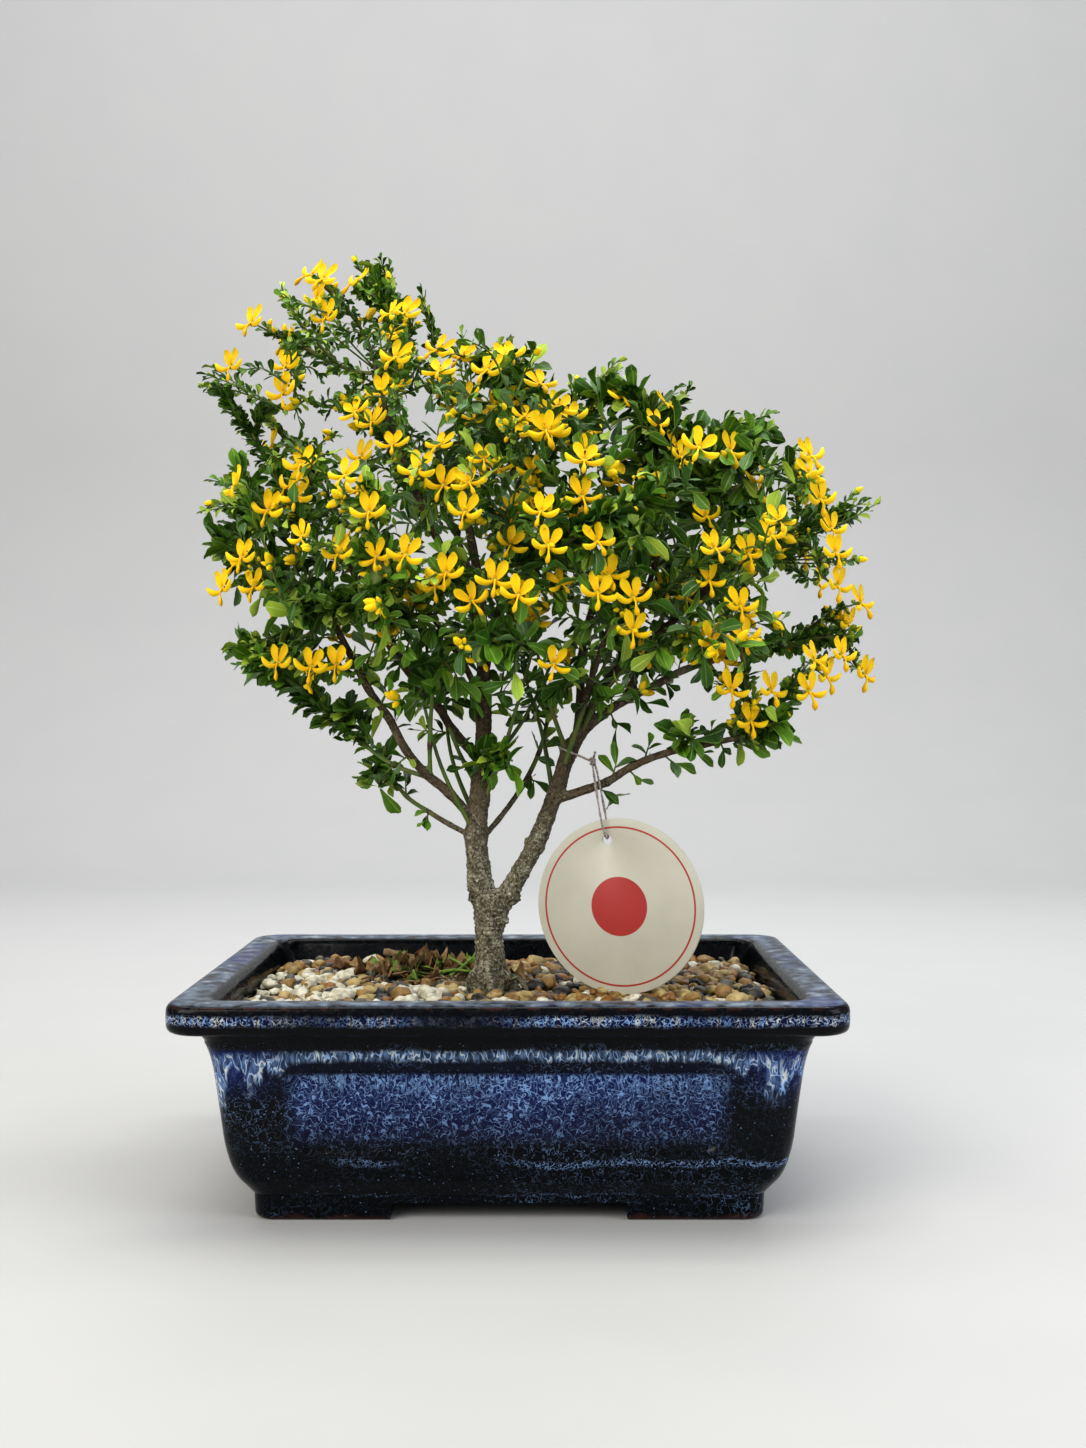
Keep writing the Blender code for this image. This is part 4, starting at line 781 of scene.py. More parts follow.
LEAF_GRIDS = [leaf_grid(2, *bends) for bends in
              ((0.2, 0.08, 0.0), (0.4, 0.2, 0.1), (0.1, -0.06, 0.15), (0.3, 0.3, -0.1))]
FINE_GRIDS = [leaf_grid(4, *bends) for bends in ((0.25, 0.10, 0.05), (0.4, 0.22, 0.12), (0.15, -0.05, -0.1))]
CURLED_GRIDS = [leaf_grid(4, *bends) for bends in ((0.9, 0.2, 0.4), (0.6, -0.15, 0.5), (1.1, 0.1, -0.5))]

# Centres of the blooms made so far, which leaves keep clear of.
BLOOM_PLACES = []


def near_bloom(place, gap):
    """Whether a place is within this gap of a bloom's centre."""
    return any((place - centre).length_squared < gap * gap for centre in BLOOM_PLACES)


def put_leaf(shape, draw, base, ahead, face, size, share, mark, grids=LEAF_GRIDS):
    """Lays a leaf from base along ahead, with its upper side towards face, unless it would cross a bloom."""
    if near_bloom(base + ahead * size * 0.8, 5.4):
        return
    side = face.cross(ahead).normalized()
    face = ahead.cross(side)
    points, faces, places = draw.choice(grids)
    basis = np.array((ahead, side * share, face)) * size
    shape.add(points @ basis + np.array(base), faces, places, mark)


def blade(spine, widths, forward, cup, columns=4):
    """A petal along a spine, whose edges bend forward by cup: its points, faces and places."""
    points, places = [], []
    spine = smooth_route(spine, 2)
    count = len(spine) - 1
    for i, point in enumerate(spine):
        t = i / count
        ahead = (spine[min(i + 1, count)] - spine[max(i - 1, 0)]).normalized()
        across = forward.cross(ahead).normalized()
        front = ahead.cross(across)
        place = t * (len(widths) - 1)
        k = min(int(place), len(widths) - 2)
        half = widths[k] + (widths[k + 1] - widths[k]) * (place - k)
        for column in range(columns + 1):
            s = 2 * column / columns - 1
            points.append(point + across * s * half + front * cup * s * s * half)
            places.append((0.5 + 0.5 * s, t))
    return points, skin(count + 1, columns + 1, closed=False), places


def make_bloom(spread, lift, hang):
    """A pea flower as (right, up, forward) over its radius: two ears, two side wings and a hanging keel."""
    shape = Shape()
    toward = Vector((0, 0, 1))
    for side in (-1, 1):
        angle = math.radians(90 - side * (21 + 4 * spread))
        way = Vector((math.cos(angle), math.sin(angle), 0))
        bow = Vector((side * 0.07, 0, 0))
        ear = (way * 0.02 - toward * 0.02, way * 0.26 - toward * 0.04 + bow, way * 0.60 - toward * 0.14 + bow,
               way * 0.90 - toward * 0.15 + bow * 0.6, way * 1.10 - toward * (0.05 + 0.05 * spread))
        shape.add(*blade(ear, (0.10, 0.15, 0.21, 0.26, 0.26, 0.20, 0.08), toward, 0.4), PETAL)
        wing = [Vector((side * x, y + lift * rise, z)) for x, y, rise, z in
                ((0.03, -0.06, 0.0, 0.06), (0.30, -0.20, 0.03, 0.20), (0.60, -0.22, 0.10, 0.30),
                 (0.84, -0.12, 0.18, 0.32), (0.98, 0.04, 0.24, 0.26))]
        shape.add(*blade(wing, (0.08, 0.12, 0.16, 0.175, 0.15, 0.06), toward, -0.8), PETAL)
    keel = smooth_route([(0, 0.0, 0.04), (0, -0.26, 0.24), (0, -0.52, 0.34 + hang), (0, -0.78, 0.38 + hang),
                         (0, -0.98, 0.34 + hang)], 2)
    points, faces, places = tube(keel, (0.07, 0.06, 0.055, 0.06, 0.09, 0.14, 0.155, 0.12, 0.03), 6, 0.75)
    shape.add(points, faces, [(u, 0.5 - 0.35 * v) for u, v in places], PETAL)
    cup = [Vector((0, -0.03, z)) for z in (0.0, -0.08, -0.18, -0.28, -0.34)]
    shape.add(*tube(cup, (0.12, 0.17, 0.15, 0.10, 0.05), 7), YOUNG)
    return shape


BLOOMS = [make_bloom(*shares) for shares in
          ((0.0, 0.0, 0.0), (1.0, 0.4, 0.1), (-0.8, 0.9, -0.1), (0.6, -0.4, 0.05), (0.2, 1.2, -0.15))]


def put_bloom(shape, template, centre, axes, radius):
    """Sets a bloom with its right, up and forward axes."""
    points = np.array(template.points) @ (np.array(axes) * radius) + np.array(centre)
    shape.add(points, template.faces, template.places, template.finishes)


def put_bud(shape, base, ahead, size):
    """A closed yellow bud on its green calyx."""
    route = [base + ahead * size * t for t in (0.0, 0.18, 0.38, 0.62, 0.84, 1.0)]
    points, faces, places = tube(route, [size * r for r in (0.12, 0.2, 0.27, 0.25, 0.16, 0.03)], 5)
    calyx = [face for face in faces if max(face) < 15]
    shape.add(points, calyx, places, YOUNG)
    shape.add(points, [face for face in faces if face not in calyx], places, PETAL)


def bloom_axes(facing, roll):
    """The right and up directions of a bloom that faces this way."""
    up = (UP - facing * facing.z).normalized()
    up.rotate(Matrix.Rotation(roll, 3, facing))
    return up.cross(facing), up


def turned_out(turn):
    """A CAD bloom's axes, turned about its centre so that the ones on the crown's sides show their faces."""
    facing = Vector(turn[2])
    if abs(facing.x) < 0.5 or facing.y > 0.5:
        return turn
    facing = (facing + Vector((0, -0.9, 0))).normalized()
    up = Vector(turn[1])
    up = (up - facing * up.dot(facing)).normalized()
    return up.cross(facing), up, facing


def fit_pose(template, places):
    """The turn, scale and shift that lay the template's points on the given ones, and how far they miss."""
    a, b = template.mean(0), places.mean(0)
    p, q = template - a, places - b
    u, spread, v = np.linalg.svd(p.T @ q)
    flip = np.sign(np.linalg.det(u @ v))
    turn = u @ np.diag((1, 1, flip)) @ v
    scale = (spread * (1, 1, flip)).sum() / (p * p).sum()
    miss = np.abs(p @ turn * scale - q).max()
    return turn, scale, b - a @ turn * scale, miss


RING = np.array([(r * math.cos(math.radians(a)), r * math.sin(math.radians(a)), f) for a, r, f in PETALS])


def in_pot_frame(place):
    """A place in the CAD's metres as one in the pot's millimetres."""
    return Vector(place) / MM - Vector(MIDDLE) / MM


def find_bloom(vert):
    """The pose of the CAD bloom whose front point this is, and its outline's points, or None."""
    step = {}
    for loop in vert.link_loops:
        after = loop.link_loop_next
        step[after.vert] = after.link_loop_next.vert
    ring = [next(iter(step))]
    while len(ring) < len(PETALS):
        following = step.get(ring[-1])
        if following is None or following in ring:
            return None
        ring.append(following)
    places = np.array([v.co for v in ring]) / MM - MIDDLE / MM
    found = min((fit_pose(RING, np.roll(places, shift, 0)) for shift in range(len(ring))),
                key=lambda pose: pose[3])
    return (found, ring) if found[3] < 0.3 else None


def find_leaf(vert):
    """The CAD leaf whose keel this is: base, directions, length, width and its points, or None."""
    around = {edge.other_vert(vert) for edge in vert.link_edges}
    edges = {edge for v in around for edge in v.link_edges if edge.other_vert(v) in around}
    spans = [(e, e.verts[0].co, e.verts[1].co) for e in edges]
    for wide, c, d in spans:
        width = (d - c).length
        if not LEAF_LEAST < width / MM < LEAF_MOST:
            continue
        for tip, a, b in spans:
            if abs((b - a).length / width - LEAF_TIP_SHARE) > 0.02 or set(tip.verts) & set(wide.verts):
                continue
            way = (a + b) / 2 - (c + d) / 2
            if abs(way.length / width - LEAF_TIP_REACH * LEAF_LONG) > 0.12:
                continue
            if abs(way.dot(d - c)) > 0.25 * way.length * width:
                continue
            long = width * LEAF_LONG / MM
            ahead = way.normalized()
            face = ahead.cross((d - c).normalized())
            if face.dot((c + d) / 2 - vert.co) < 0:
                face = -face
            base = in_pot_frame((a + b) / 2) - ahead * long
            return base, ahead, face, long, width / MM, {vert, *wide.verts, *tip.verts}
    return None


# Leaves sit on stem edges that are longer than this, and the CAD's stems are swelled before they are rounded.
SEAT_LENGTH, STEM_SWELL = 2.2, 0.22


def read_spray(node):
    """Reads a spray's CAD mesh: the poses of its blooms and leaves, the seats of further leaves as (end,
    end, way out), and its stems, which are what is left."""
    mesh = bmesh.new()
    mesh.from_mesh(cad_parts[node].data)
    bmesh.ops.remove_doubles(mesh, verts=mesh.verts, dist=2e-6)
    blooms, leaves, gone = [], [], set()
    for vert in mesh.verts:
        if len(vert.link_edges) == len(PETALS):
            found = find_bloom(vert)
            if found:
                blooms.append(found[0])
                gone |= {vert, *found[1]}
    for vert in mesh.verts:
        if vert not in gone and len(vert.link_edges) >= 5:
            found = find_leaf(vert)
            if found and not found[5] & gone:
                leaves.append(found[:5])
                gone |= found[5]
    bmesh.ops.delete(mesh, geom=list(gone), context="VERTS")
    bmesh.ops.holes_fill(mesh, edges=mesh.edges, sides=0)
    bmesh.ops.recalc_face_normals(mesh, faces=mesh.faces)
    mesh.normal_update()
    seats = []
    for edge in mesh.edges:
        a, b = edge.verts
        if edge.calc_length() > SEAT_LENGTH * MM:
            seats.append((in_pot_frame(a.co), in_pot_frame(b.co), (a.normal + b.normal).normalized()))
    points = [in_pot_frame(v.co + v.normal * (STEM_SWELL * MM)) for v in mesh.verts]
    index = {v: i for i, v in enumerate(mesh.verts)}
    faces = [tuple(index[v] for v in face.verts) for face in mesh.faces]
    mesh.free()
    return blooms, leaves, seats, (points, faces)


def any_way(draw):
    """A direction picked evenly from all."""
    while True:
        way = Vector((draw.uniform(-1, 1), draw.uniform(-1, 1), draw.uniform(-1, 1)))
        if 0.1 < way.length < 1:
            return way.normalized()


def leaf_finish(draw, fresh=0.2, hoary=0.07):
    """Mostly old and grown leaves, with a few young and hoary ones."""
    pick = draw.random()
    if pick < fresh:
        return YOUNG
    if pick < fresh + hoary:
        return HOARY
    return OLD if pick < 0.62 else GROWN


def face_up(ahead, draw):
    """A leaf's upper side mostly turns to the light."""
    face = UP + any_way(draw) * 0.9
    return (face - ahead * face.dot(ahead)).normalized()


def put_shoot(shape, draw, start, lead, end, size, share, fresh, leafy=15.0, crowd=4.0, hoary=0.07):
    """A thin stem that leaves start along lead and bends to end, with leaves in turn round its last leafy
    millimetres, crowd of them to a leaf's length. Returns the stem's route."""
    reach = (end - start).length
    middle = start + lead * reach * 0.35 + (end - start) * 0.25
    route = smooth_route([start, middle, end], 3)
    radii = [0.50 - 0.28 * i / (len(route) - 1) for i in range(len(route))]
    shape.add(*tube(route, radii, 4), STEM)
    turned = list(frames(route))
    leafy = min(reach, leafy)
    count = max(4, round(leafy / size * crowd))
    for i in range(count):
        t = clamp(1 - leafy / max(reach, 1e-6) * (1 - i / (count - 1)) * 0.95) * (len(turned) - 1)
        k = min(int(t), len(turned) - 2)
        point = turned[k][0].lerp(turned[k + 1][0], t - k)
        _, along, side, over = turned[k]
        turn = i * 2.4 + draw.uniform(-0.4, 0.4)
        away = side * math.cos(turn) + over * math.sin(turn)
        spread = math.radians(64 - 40 * i / count)
        way = (along * math.cos(spread) + away * math.sin(spread)).normalized()
        long = size * draw.uniform(0.65, 1.15)
        put_leaf(shape, draw, point, way, face_up(way, draw), long, share, leaf_finish(draw, fresh, hoary))
    return route


# Operators

class BonsaiOperator:
    """What all the operators share."""

    bl_options = {"REGISTER", "UNDO"}


class BONSAI_OT_stage(BonsaiOperator, bpy.types.Operator):
    """Sets the camera where the photograph was taken from, a pale floor and backdrop, and soft lights"""

    bl_idname = "bonsai.stage"
    bl_label = "Stage"

    def execute(self, context):
        scene = context.scene
        data = bpy.data.cameras.new("camera")
        data.sensor_width = SENSOR
        data.lens = SENSOR * FOCAL_LENGTH / PICTURE_HEIGHT
        data.clip_start = 0.01
        camera = bpy.data.objects.new("camera", data)
        camera.location = Vector(MIDDLE) + CAMERA_PLACE
        camera.rotation_euler = (math.pi / 2, 0, 0)
        scene.collection.objects.link(camera)
        scene.camera = camera
        scene.view_settings.view_transform = "Standard"
        scene.view_settings.look = "Medium High Contrast"
        # The floor runs back and curves up into the backdrop.
        turns = [math.radians(degrees) for degrees in range(0, 91, 6)]
        bend = [(0.9 + 0.5 * math.sin(turn), 0.5 - 0.5 * math.cos(turn)) for turn in turns]
        line = [(-9.0, 0.0), (0.2, 0.0), *bend, (1.4, 3.0)]
        points = [(x, y, z) for x in (-9.0, 9.0) for y, z in line]
        count = len(line)
        faces = [(i, i + 1, count + i + 1, count + i) for i in range(count - 1)]
        floor = scratch("floor", points, faces)
        floor.data.materials.append(shared("painted_board", painted_board))
        for polygon in floor.data.polygons:
            polygon.use_smooth = True
        lights = (
            ("window", (-0.75, -0.85, 0.75), (1.0, 0.7), 11.0, "#fff8ec"),
            ("far_window", (0.95, -0.55, 0.6), (0.7, 0.7), 6.5, "#f2f6ff"),
            ("ceiling", (0.05, -0.12, 1.15), (1.1, 0.30), 6.0, "#fffdf6"),
            ("back", (0.1, 0.75, 0.85), (1.0, 0.4), 3.0, "#f6f8ff"),
            ("wall_wash", (0.0, 0.25, 1.7), (2.4, 0.3), 17.0, "#ffffff"),
        )
        aim = Vector((0, 0, 0.14))
        for name, place, (wide, tall), power, tint in lights:
            lamp = bpy.data.lights.new(name, "AREA")
            lamp.shape, lamp.size, lamp.size_y, lamp.energy = "RECTANGLE", wide, tall, power
            lamp.color = linear(tint)[:3]
            obj = bpy.data.objects.new(name, lamp)
            obj.location = place
            way = Vector((0, 1.4, 0.6)) if name == "wall_wash" else aim
            obj.rotation_euler = (way - Vector(place)).to_track_quat("-Z", "Y").to_euler()
            scene.collection.objects.link(obj)
        world = bpy.data.worlds.new("studio")
        world.use_nodes = True
        back = world.node_tree.nodes["Background"]
        back.inputs["Color"].default_value = linear("#e6eaf0")
        back.inputs["Strength"].default_value = 0.55
        scene.world = world
        return {"FINISHED"}


def pot_outline(inset, corner_steps=9, long_steps=112, short_steps=82):
    """The pot's rounded outline at an inset, closely stepped, as (x, y, the inward direction)."""
    radius = max(4.0, RIM_CORNER - 0.12 * inset)
    half_x, half_y = HALF_LENGTH - inset, HALF_DEPTH - inset
    out = []
    for corner in range(4):
        sx = 1 if corner in (0, 3) else -1
        sy = 1 if corner in (0, 1) else -1
        cx, cy = sx * (half_x - radius), sy * (half_y - radius)
        for step in range(corner_steps + 1):
            angle = math.pi / 2 * (corner + step / corner_steps)
            way = (math.cos(angle), math.sin(angle))
            out.append((cx + radius * way[0], cy + radius * way[1], (-way[0], -way[1])))
        # Along the side that follows the corner.
        after = math.pi / 2 * (corner + 1)
        way = (math.cos(after), math.sin(after))
        steps = long_steps if corner % 2 == 0 else short_steps
        run = 2 * (half_x - radius) if corner % 2 == 0 else 2 * (half_y - radius)
        travel = (-math.sin(after), math.cos(after))
        x, y = cx + radius * way[0], cy + radius * way[1]
        for step in range(1, steps):
            share = run * step / steps
            out.append((x + travel[0] * share, y + travel[1] * share, (-way[0], -way[1])))
    return out


def panel_depth(across, height, width):
    """How far the panel is sunk at this place: rounded corners, and a border that slopes softly."""
    px = abs(across) - (width / 2 - PANEL_CORNER)
    pz = abs(height - (PANEL_LOW + PANEL_HIGH) / 2) - ((PANEL_HIGH - PANEL_LOW) / 2 - PANEL_CORNER)
    out = math.hypot(max(px, 0), max(pz, 0)) + min(max(px, pz), 0) - PANEL_CORNER
    return PANEL_SUNK * ease(-out, 0.0, PANEL_SLOPE)


class BONSAI_OT_pot(BonsaiOperator, bpy.types.Operator):
    """Builds the glazed pot with soft panel borders, a rounded rim, corner feet and drain holes"""

    bl_idname = "bonsai.pot"
    bl_label = "Pot"

    def execute(self, context):
        wall = []
        for (z0, i0), (z1, i1) in zip(WALL, WALL[1:]):
            steps = max(1, round((z1 - z0) / 0.75))
            wall += [(z0 + (z1 - z0) * k / steps, i0 + (i1 - i0) * k / steps) for k in range(steps)]
        soft = wall[:]
        for i in range(4, len(wall) - 4):
            near = wall[i - 4:i + 5]
            soft[i] = (wall[i][0], sum(inset for _, inset in near) / len(near))
        rings = []
        for z, inset in soft + [WALL[-1]] + list(RIM):
            on_wall = PANEL_LOW - 1 < z < PANEL_HIGH + 1 and inset < 18
            ring = []
            for x, y, (ix, iy) in pot_outline(inset):
                sunk = 0.0
                if on_wall and max(abs(ix), abs(iy)) > 0.999:
                    across, width = (x, PANEL_LONG) if abs(iy) > 0.5 else (y, PANEL_SHORT)
                    sunk = panel_depth(across, z, width)
                ring.append((x + ix * sunk, y + iy * sunk, z))
            rings.append(ring)
        body = scratch("pot_body", *loft(rings))
        feet_rings = []
        for z, inset in ((0, 24.2), (0.25, 23.6), (0.7, 23.1), (1.5, 22.8), (FOOT_HEIGHT, FOOT_INSET)):
            feet_rings.append([(x, y, z) for x, y, _ in pot_outline(inset, 8, 10, 8)])
        feet = scratch("feet", *loft(feet_rings))
        inner_x = HALF_LENGTH - FOOT_INSET - FOOT_WALL
        inner_y = HALF_DEPTH - FOOT_INSET - FOOT_WALL
        gaps = [scratch("gap", *loft([oblong(inner_x, inner_y, z) for z in (-1, FOOT_HEIGHT + 1)]))]
        for long, half in ((True, FOOT_GAP_LONG / 2), (False, FOOT_GAP_SHORT / 2)):
            rings = []
            for z, wider in ((-1, 0.4), (0.4, 0.4), (1.6, 0), (3.2, 0), (FLOOR_BELOW + 0.5, 0)):
                x, y = (half + wider, HALF_DEPTH) if long else (HALF_LENGTH, half + wider)
                rings.append(oblong(x, y, z))
            gaps.append(scratch("gap", *loft(rings)))
        feet = scratch("feet_cut", *read_mesh(combine(feet, gaps, "DIFFERENCE")))
        body = scratch("pot_joined", *read_mesh(combine(body, [feet], "UNION")))
        drains = [scratch("drain", *loft([circle(DRAIN_RADIUS, z, 40, side * DRAIN_X) for z in (0, 13)]))
                  for side in (-1, 1)]
        shape = Shape()
        shape.add(*read_mesh(combine(body, drains, "DIFFERENCE")))
        pot = piece("glazed_pot", shape, [shared("glazed_stoneware", glazed_stoneware)], ["pot"])
        keep_edges(pot, 40)
        for name in ("drain_screen_left", "drain_screen_right"):
            dress(name, shared("moulded_polythene", moulded_polythene))
        return {"FINISHED"}


def keep_edges(obj, degrees):
    """Smooth shading that stays sharp where faces meet more steeply than this."""
    obj.data.set_sharp_from_angle(angle=math.radians(degrees))


def dress(node, material):
    """Gives a CAD node that stays in view its finished material."""
    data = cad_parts[node].data
    data.materials.clear()
    data.materials.append(material)


def inside_pot(x, y, z, gap=0.0):
    """Whether a place is clear of the pot's inner wall, near the gravel."""
    inset = INNER_INSET + (INNER_HEIGHT - z) * INNER_LEAN + gap
    half_x, half_y, radius = HALF_LENGTH - inset, HALF_DEPTH - inset, INNER_CORNER
    px, py = abs(x) - (half_x - radius), abs(y) - (half_y - radius)
    return math.hypot(max(px, 0), max(py, 0)) + min(max(px, py), 0) < radius


def pebble_grid():
    mesh = bmesh.new()
    bmesh.ops.create_icosphere(mesh, subdivisions=2, radius=1.0)
    points = np.array([v.co for v in mesh.verts])
    faces = [tuple(v.index for v in face.verts) for face in mesh.faces]
    mesh.free()
    return points, faces


class BONSAI_OT_ground(BonsaiOperator, bpy.types.Operator):
    """Lays the pebble dressing over the damp soil"""

    bl_idname = "bonsai.ground"
    bl_label = "Pebbles and soil"

    def execute(self, context):
        dress("soil", shared("potting_soil", potting_soil))
        draw = random.Random(5)
        ball, faces = pebble_grid()
        variants = []
        for k in range(12):
            grown = []
            for p in ball:
                swell = noise.noise(Vector(p) * 1.1 + Vector((k * 7.3, 0, 0)))
                grown.append(p * (1 + 0.55 * swell))
            variants.append(np.array(grown))
        shape = Shape()
        usual = sizes().pebble / MM
        # How many of a hundred stones are of each mineral, in the order of the piece's finishes.
        tones = ((0, 15), (1, 20), (2, 22), (3, 13), (4, 15), (5, 15))
        bag = [mark for mark, share in tones for _ in range(share)]

        def lay(x, y, size, lift):
            half, flat = size / 2, draw.uniform(0.55, 0.8)
            scale = np.diag((half * draw.uniform(0.85, 1.25), half * draw.uniform(0.8, 1.05), half * flat))
            tilt = Matrix.Rotation(draw.uniform(-0.45, 0.45), 3, "X")
            tilt = tilt @ Matrix.Rotation(draw.uniform(0, 6.3), 3, "Z")
            z = GRAVEL_TOP + lift + size * 0.16
            points = draw.choice(variants) @ scale @ np.array(tilt) + np.array((x, y, z))
            # Behind the trunk on the right lie bigger brown ones, at the front left whiter ones.
            mark = draw.choice(bag)
            if x > 2 and y > -12 and draw.random() < 0.5:
                mark = draw.choice((2, 3, 4, 5))
            elif x > 30 and mark > 3 and draw.random() < 0.5:
                mark = 1
            if (abs(x + 70) < 16 or abs(x + 30) < 8) and y < 30 and draw.random() < 0.45:
                mark = 0
            shape.add(points, faces, finish=mark)

        # The stones lie in staggered rows, with a thin second layer on the first.
        span_x, span_y = GRAVEL_HALF_LENGTH, GRAVEL_HALF_DEPTH
        step = usual * 0.86
        row_step = step * 0.866
        for layer in range(2):
            for row in range(int(2 * span_y / row_step)):
                for column in range(int(2 * span_x / step)):
                    if layer and draw.random() > 0.26:
                        continue
                    x = -span_x + step * (column + 0.5 * (row % 2)) + draw.uniform(-0.4, 0.4) * step
                    y = -span_y + row_step * row + draw.uniform(-0.4, 0.4) * step
                    size = usual * draw.choice((0.5, 0.6, 0.75, 0.9, 1.0, 1.15, 1.5))
                    if not inside_pot(x, y, GRAVEL_TOP + 1, size / 2 + 0.2):
                        continue
                    if math.hypot(x - TRUNK_X, y) < 8.3 + size * 0.3:
                        continue
                    lay(x, y, size, draw.uniform(-0.5, 0.5) + layer * usual * 0.33)
        # The soil between them, swelling a little.
        cell = 2.0
        columns, lines = int(2 * span_x / cell), int(2 * span_y / cell)
        index, points, bed = {}, [], []
        for j in range(lines + 1):
            for i in range(columns + 1):
                x, y = -span_x + cell * i, -span_y + cell * j
                if inside_pot(x, y, GRAVEL_TOP, 0.3) and math.hypot(x - TRUNK_X, y) > 6:
                    index[i, j] = len(points)
                    points.append((x, y, GRAVEL_TOP - 0.7 + 0.6 * noise.noise(Vector((x, y, 0)) * 0.35)))
        for (i, j), a in index.items():
            corners = [index.get(k) for k in ((i + 1, j), (i + 1, j + 1), (i, j + 1))]
            if None not in corners:
                bed.append((a, *corners))
        shape.add(points, bed, finish=6)
        stones = (
            ("quartz_pebble", "#d8d5c2", "#978f76", 0.5, 3.0),
            ("limestone_pebble", "#b39e6a", "#7a673c", 0.6, 3.0),
            ("sandstone_pebble", "#9a7b43", "#614923", 0.6, 2.5),
            ("jasper_pebble", "#8f6429", "#4c3114", 0.42, 3.0),
            ("slate_pebble", "#5f5b4c", "#2b2921", 0.5, 2.5),
            ("basalt_pebble", "#2a2620", "#12100e", 0.45, 3.0),
        )
        finishes = [shared(stone[0], mineral, *stone) for stone in stones]
        finishes.append(shared("potting_soil", potting_soil))
        piece("pebble_dressing", shape, finishes, ["gravel"])
        return {"FINISHED"}


def limb_lines():
    """Every branch as a smooth line of points with their radii."""
    draw = random.Random(3)
    lines = {}
    for name, (ends, route) in BRANCHES.items():
        line = smooth_route(route, 5)
        count = len(line) - 1
        radii = []
        for i in range(count + 1):
            usual = ends[0] + (ends[1] - ends[0]) * i / count
            if "limb" not in name:
                usual *= 0.74 + 0.2 * i / count
            radii.append(usual * (1 + 0.10 * noise.noise(line[i] * 0.11)) + 0.12)
        for i in range(2, count):
            if i % 5 == 0:
                radii[i] *= draw.uniform(1.04, 1.16)
        lines[name] = (line, radii)
    return lines


class BONSAI_OT_wood(BonsaiOperator, bpy.types.Operator):
    """Grows trunk, roots and branches together, and raises the bark's wrinkles and rings"""

    bl_idname = "bonsai.wood"
    bl_label = "Trunk and branches"

    def execute(self, context):
        shape = Shape()
        trunk = smooth_route([p for p, _ in TRUNK], 4)
        along = np.linspace(0, len(TRUNK) - 1, len(trunk))
        radii = np.interp(along, range(len(TRUNK)), [radius for _, radius in TRUNK])
        shape.add(*tube(trunk, radii, 28)[:2])
        marks = [(p, r) for p, r in zip(trunk, radii)]
        for degrees, radius in ROOTS:
            way = math.radians(degrees)
            route = [(TRUNK_X + math.cos(way) * out, math.sin(way) * out, z) for out, z in ROOT_ROUTE]
            route = smooth_route(route, 4)
            shape.add(*tube(route, [radius * (0.85 + 0.15 * math.sin(i)) for i in range(len(route))], 12)[:2])
            marks += [(p, radius + 1.5) for p in route]
        arch = smooth_route(ROOT_ARCH, 5)
        shape.add(*tube(arch, [1.15 + 0.15 * math.sin(i * 0.9) for i in range(len(arch))], 10)[:2])
        marks += [(p, 3.0) for p in arch]
        for line, radii in limb_lines().values():
            shape.add(*tube(line, radii, 14)[:2])
            marks += list(zip(line, radii))
        for centre, radius in KNOTS:
            ball, faces = pebble_grid()
            shape.add(ball * radius * 1.05 + np.array(centre), faces)
        wood = scratch("wood", np.array(shape.points) * MM, shape.faces)
        grow = wood.modifiers.new("grow", "REMESH")
        grow.mode, grow.voxel_size, grow.adaptivity = "VOXEL", sizes().voxel, 0.0
        soften = wood.modifiers.new("soften", "SMOOTH")
        soften.factor, soften.iterations = 0.5, 4
        mesh = worked(wood)
        drop(wood)
        points, faces = read_mesh(mesh)
        points = points / MM
        normals = np.array([v.normal for v in mesh.vertices])
        bpy.data.meshes.remove(mesh)
        tree = KDTree(len(marks))
        for i, (point, _) in enumerate(marks):
            tree.insert(point, i)
        tree.balance()
        relief = sizes().bark / MM
        raised, thin = [], []
        for p, n in zip(points, normals):
            place = Vector(p)
            radius = min((way - marks[i][1], marks[i][1]) for _, i, way in tree.find_n(place, 10))[1]
            thick = clamp((radius - 0.7) / 3.4)
            wrinkles = 0.5 + 0.9 * noise.noise(Vector((place.x * 0.5, place.y * 0.5, place.z * 1.1)))
            swell = noise.noise(place * 0.21) * 1.1 + noise.noise(place * 0.5) * 0.5
            rings = math.sin(place.z * 3.9 + 2.2 * noise.noise(place * 0.3))
            fork = ease(place.z, *FORK_START) * (1 - ease(place.z, *FORK_END))
            height = (wrinkles - 0.55) + 0.45 * rings * (0.35 + fork) + 0.55 * swell
            raised.append(p + np.array(n) * thick * relief * height)
            thin.append(radius < 0.97)
        made = Shape()
        made.add(raised, faces, finish=[int(thin[face[0]]) for face in faces])
        piece("bark", made, [shared("broom_bark", broom_bark), shared("green_twig", green_twig)],
              ["trunk_and_branches"])
        return {"FINISHED"}


# Places on the sprays' stems, from which the extra shoots may grow.
STEM_PLACES = []


def spray_nodes():
    return sorted(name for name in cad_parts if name.startswith(("flower_spray", "leaf_spray")))


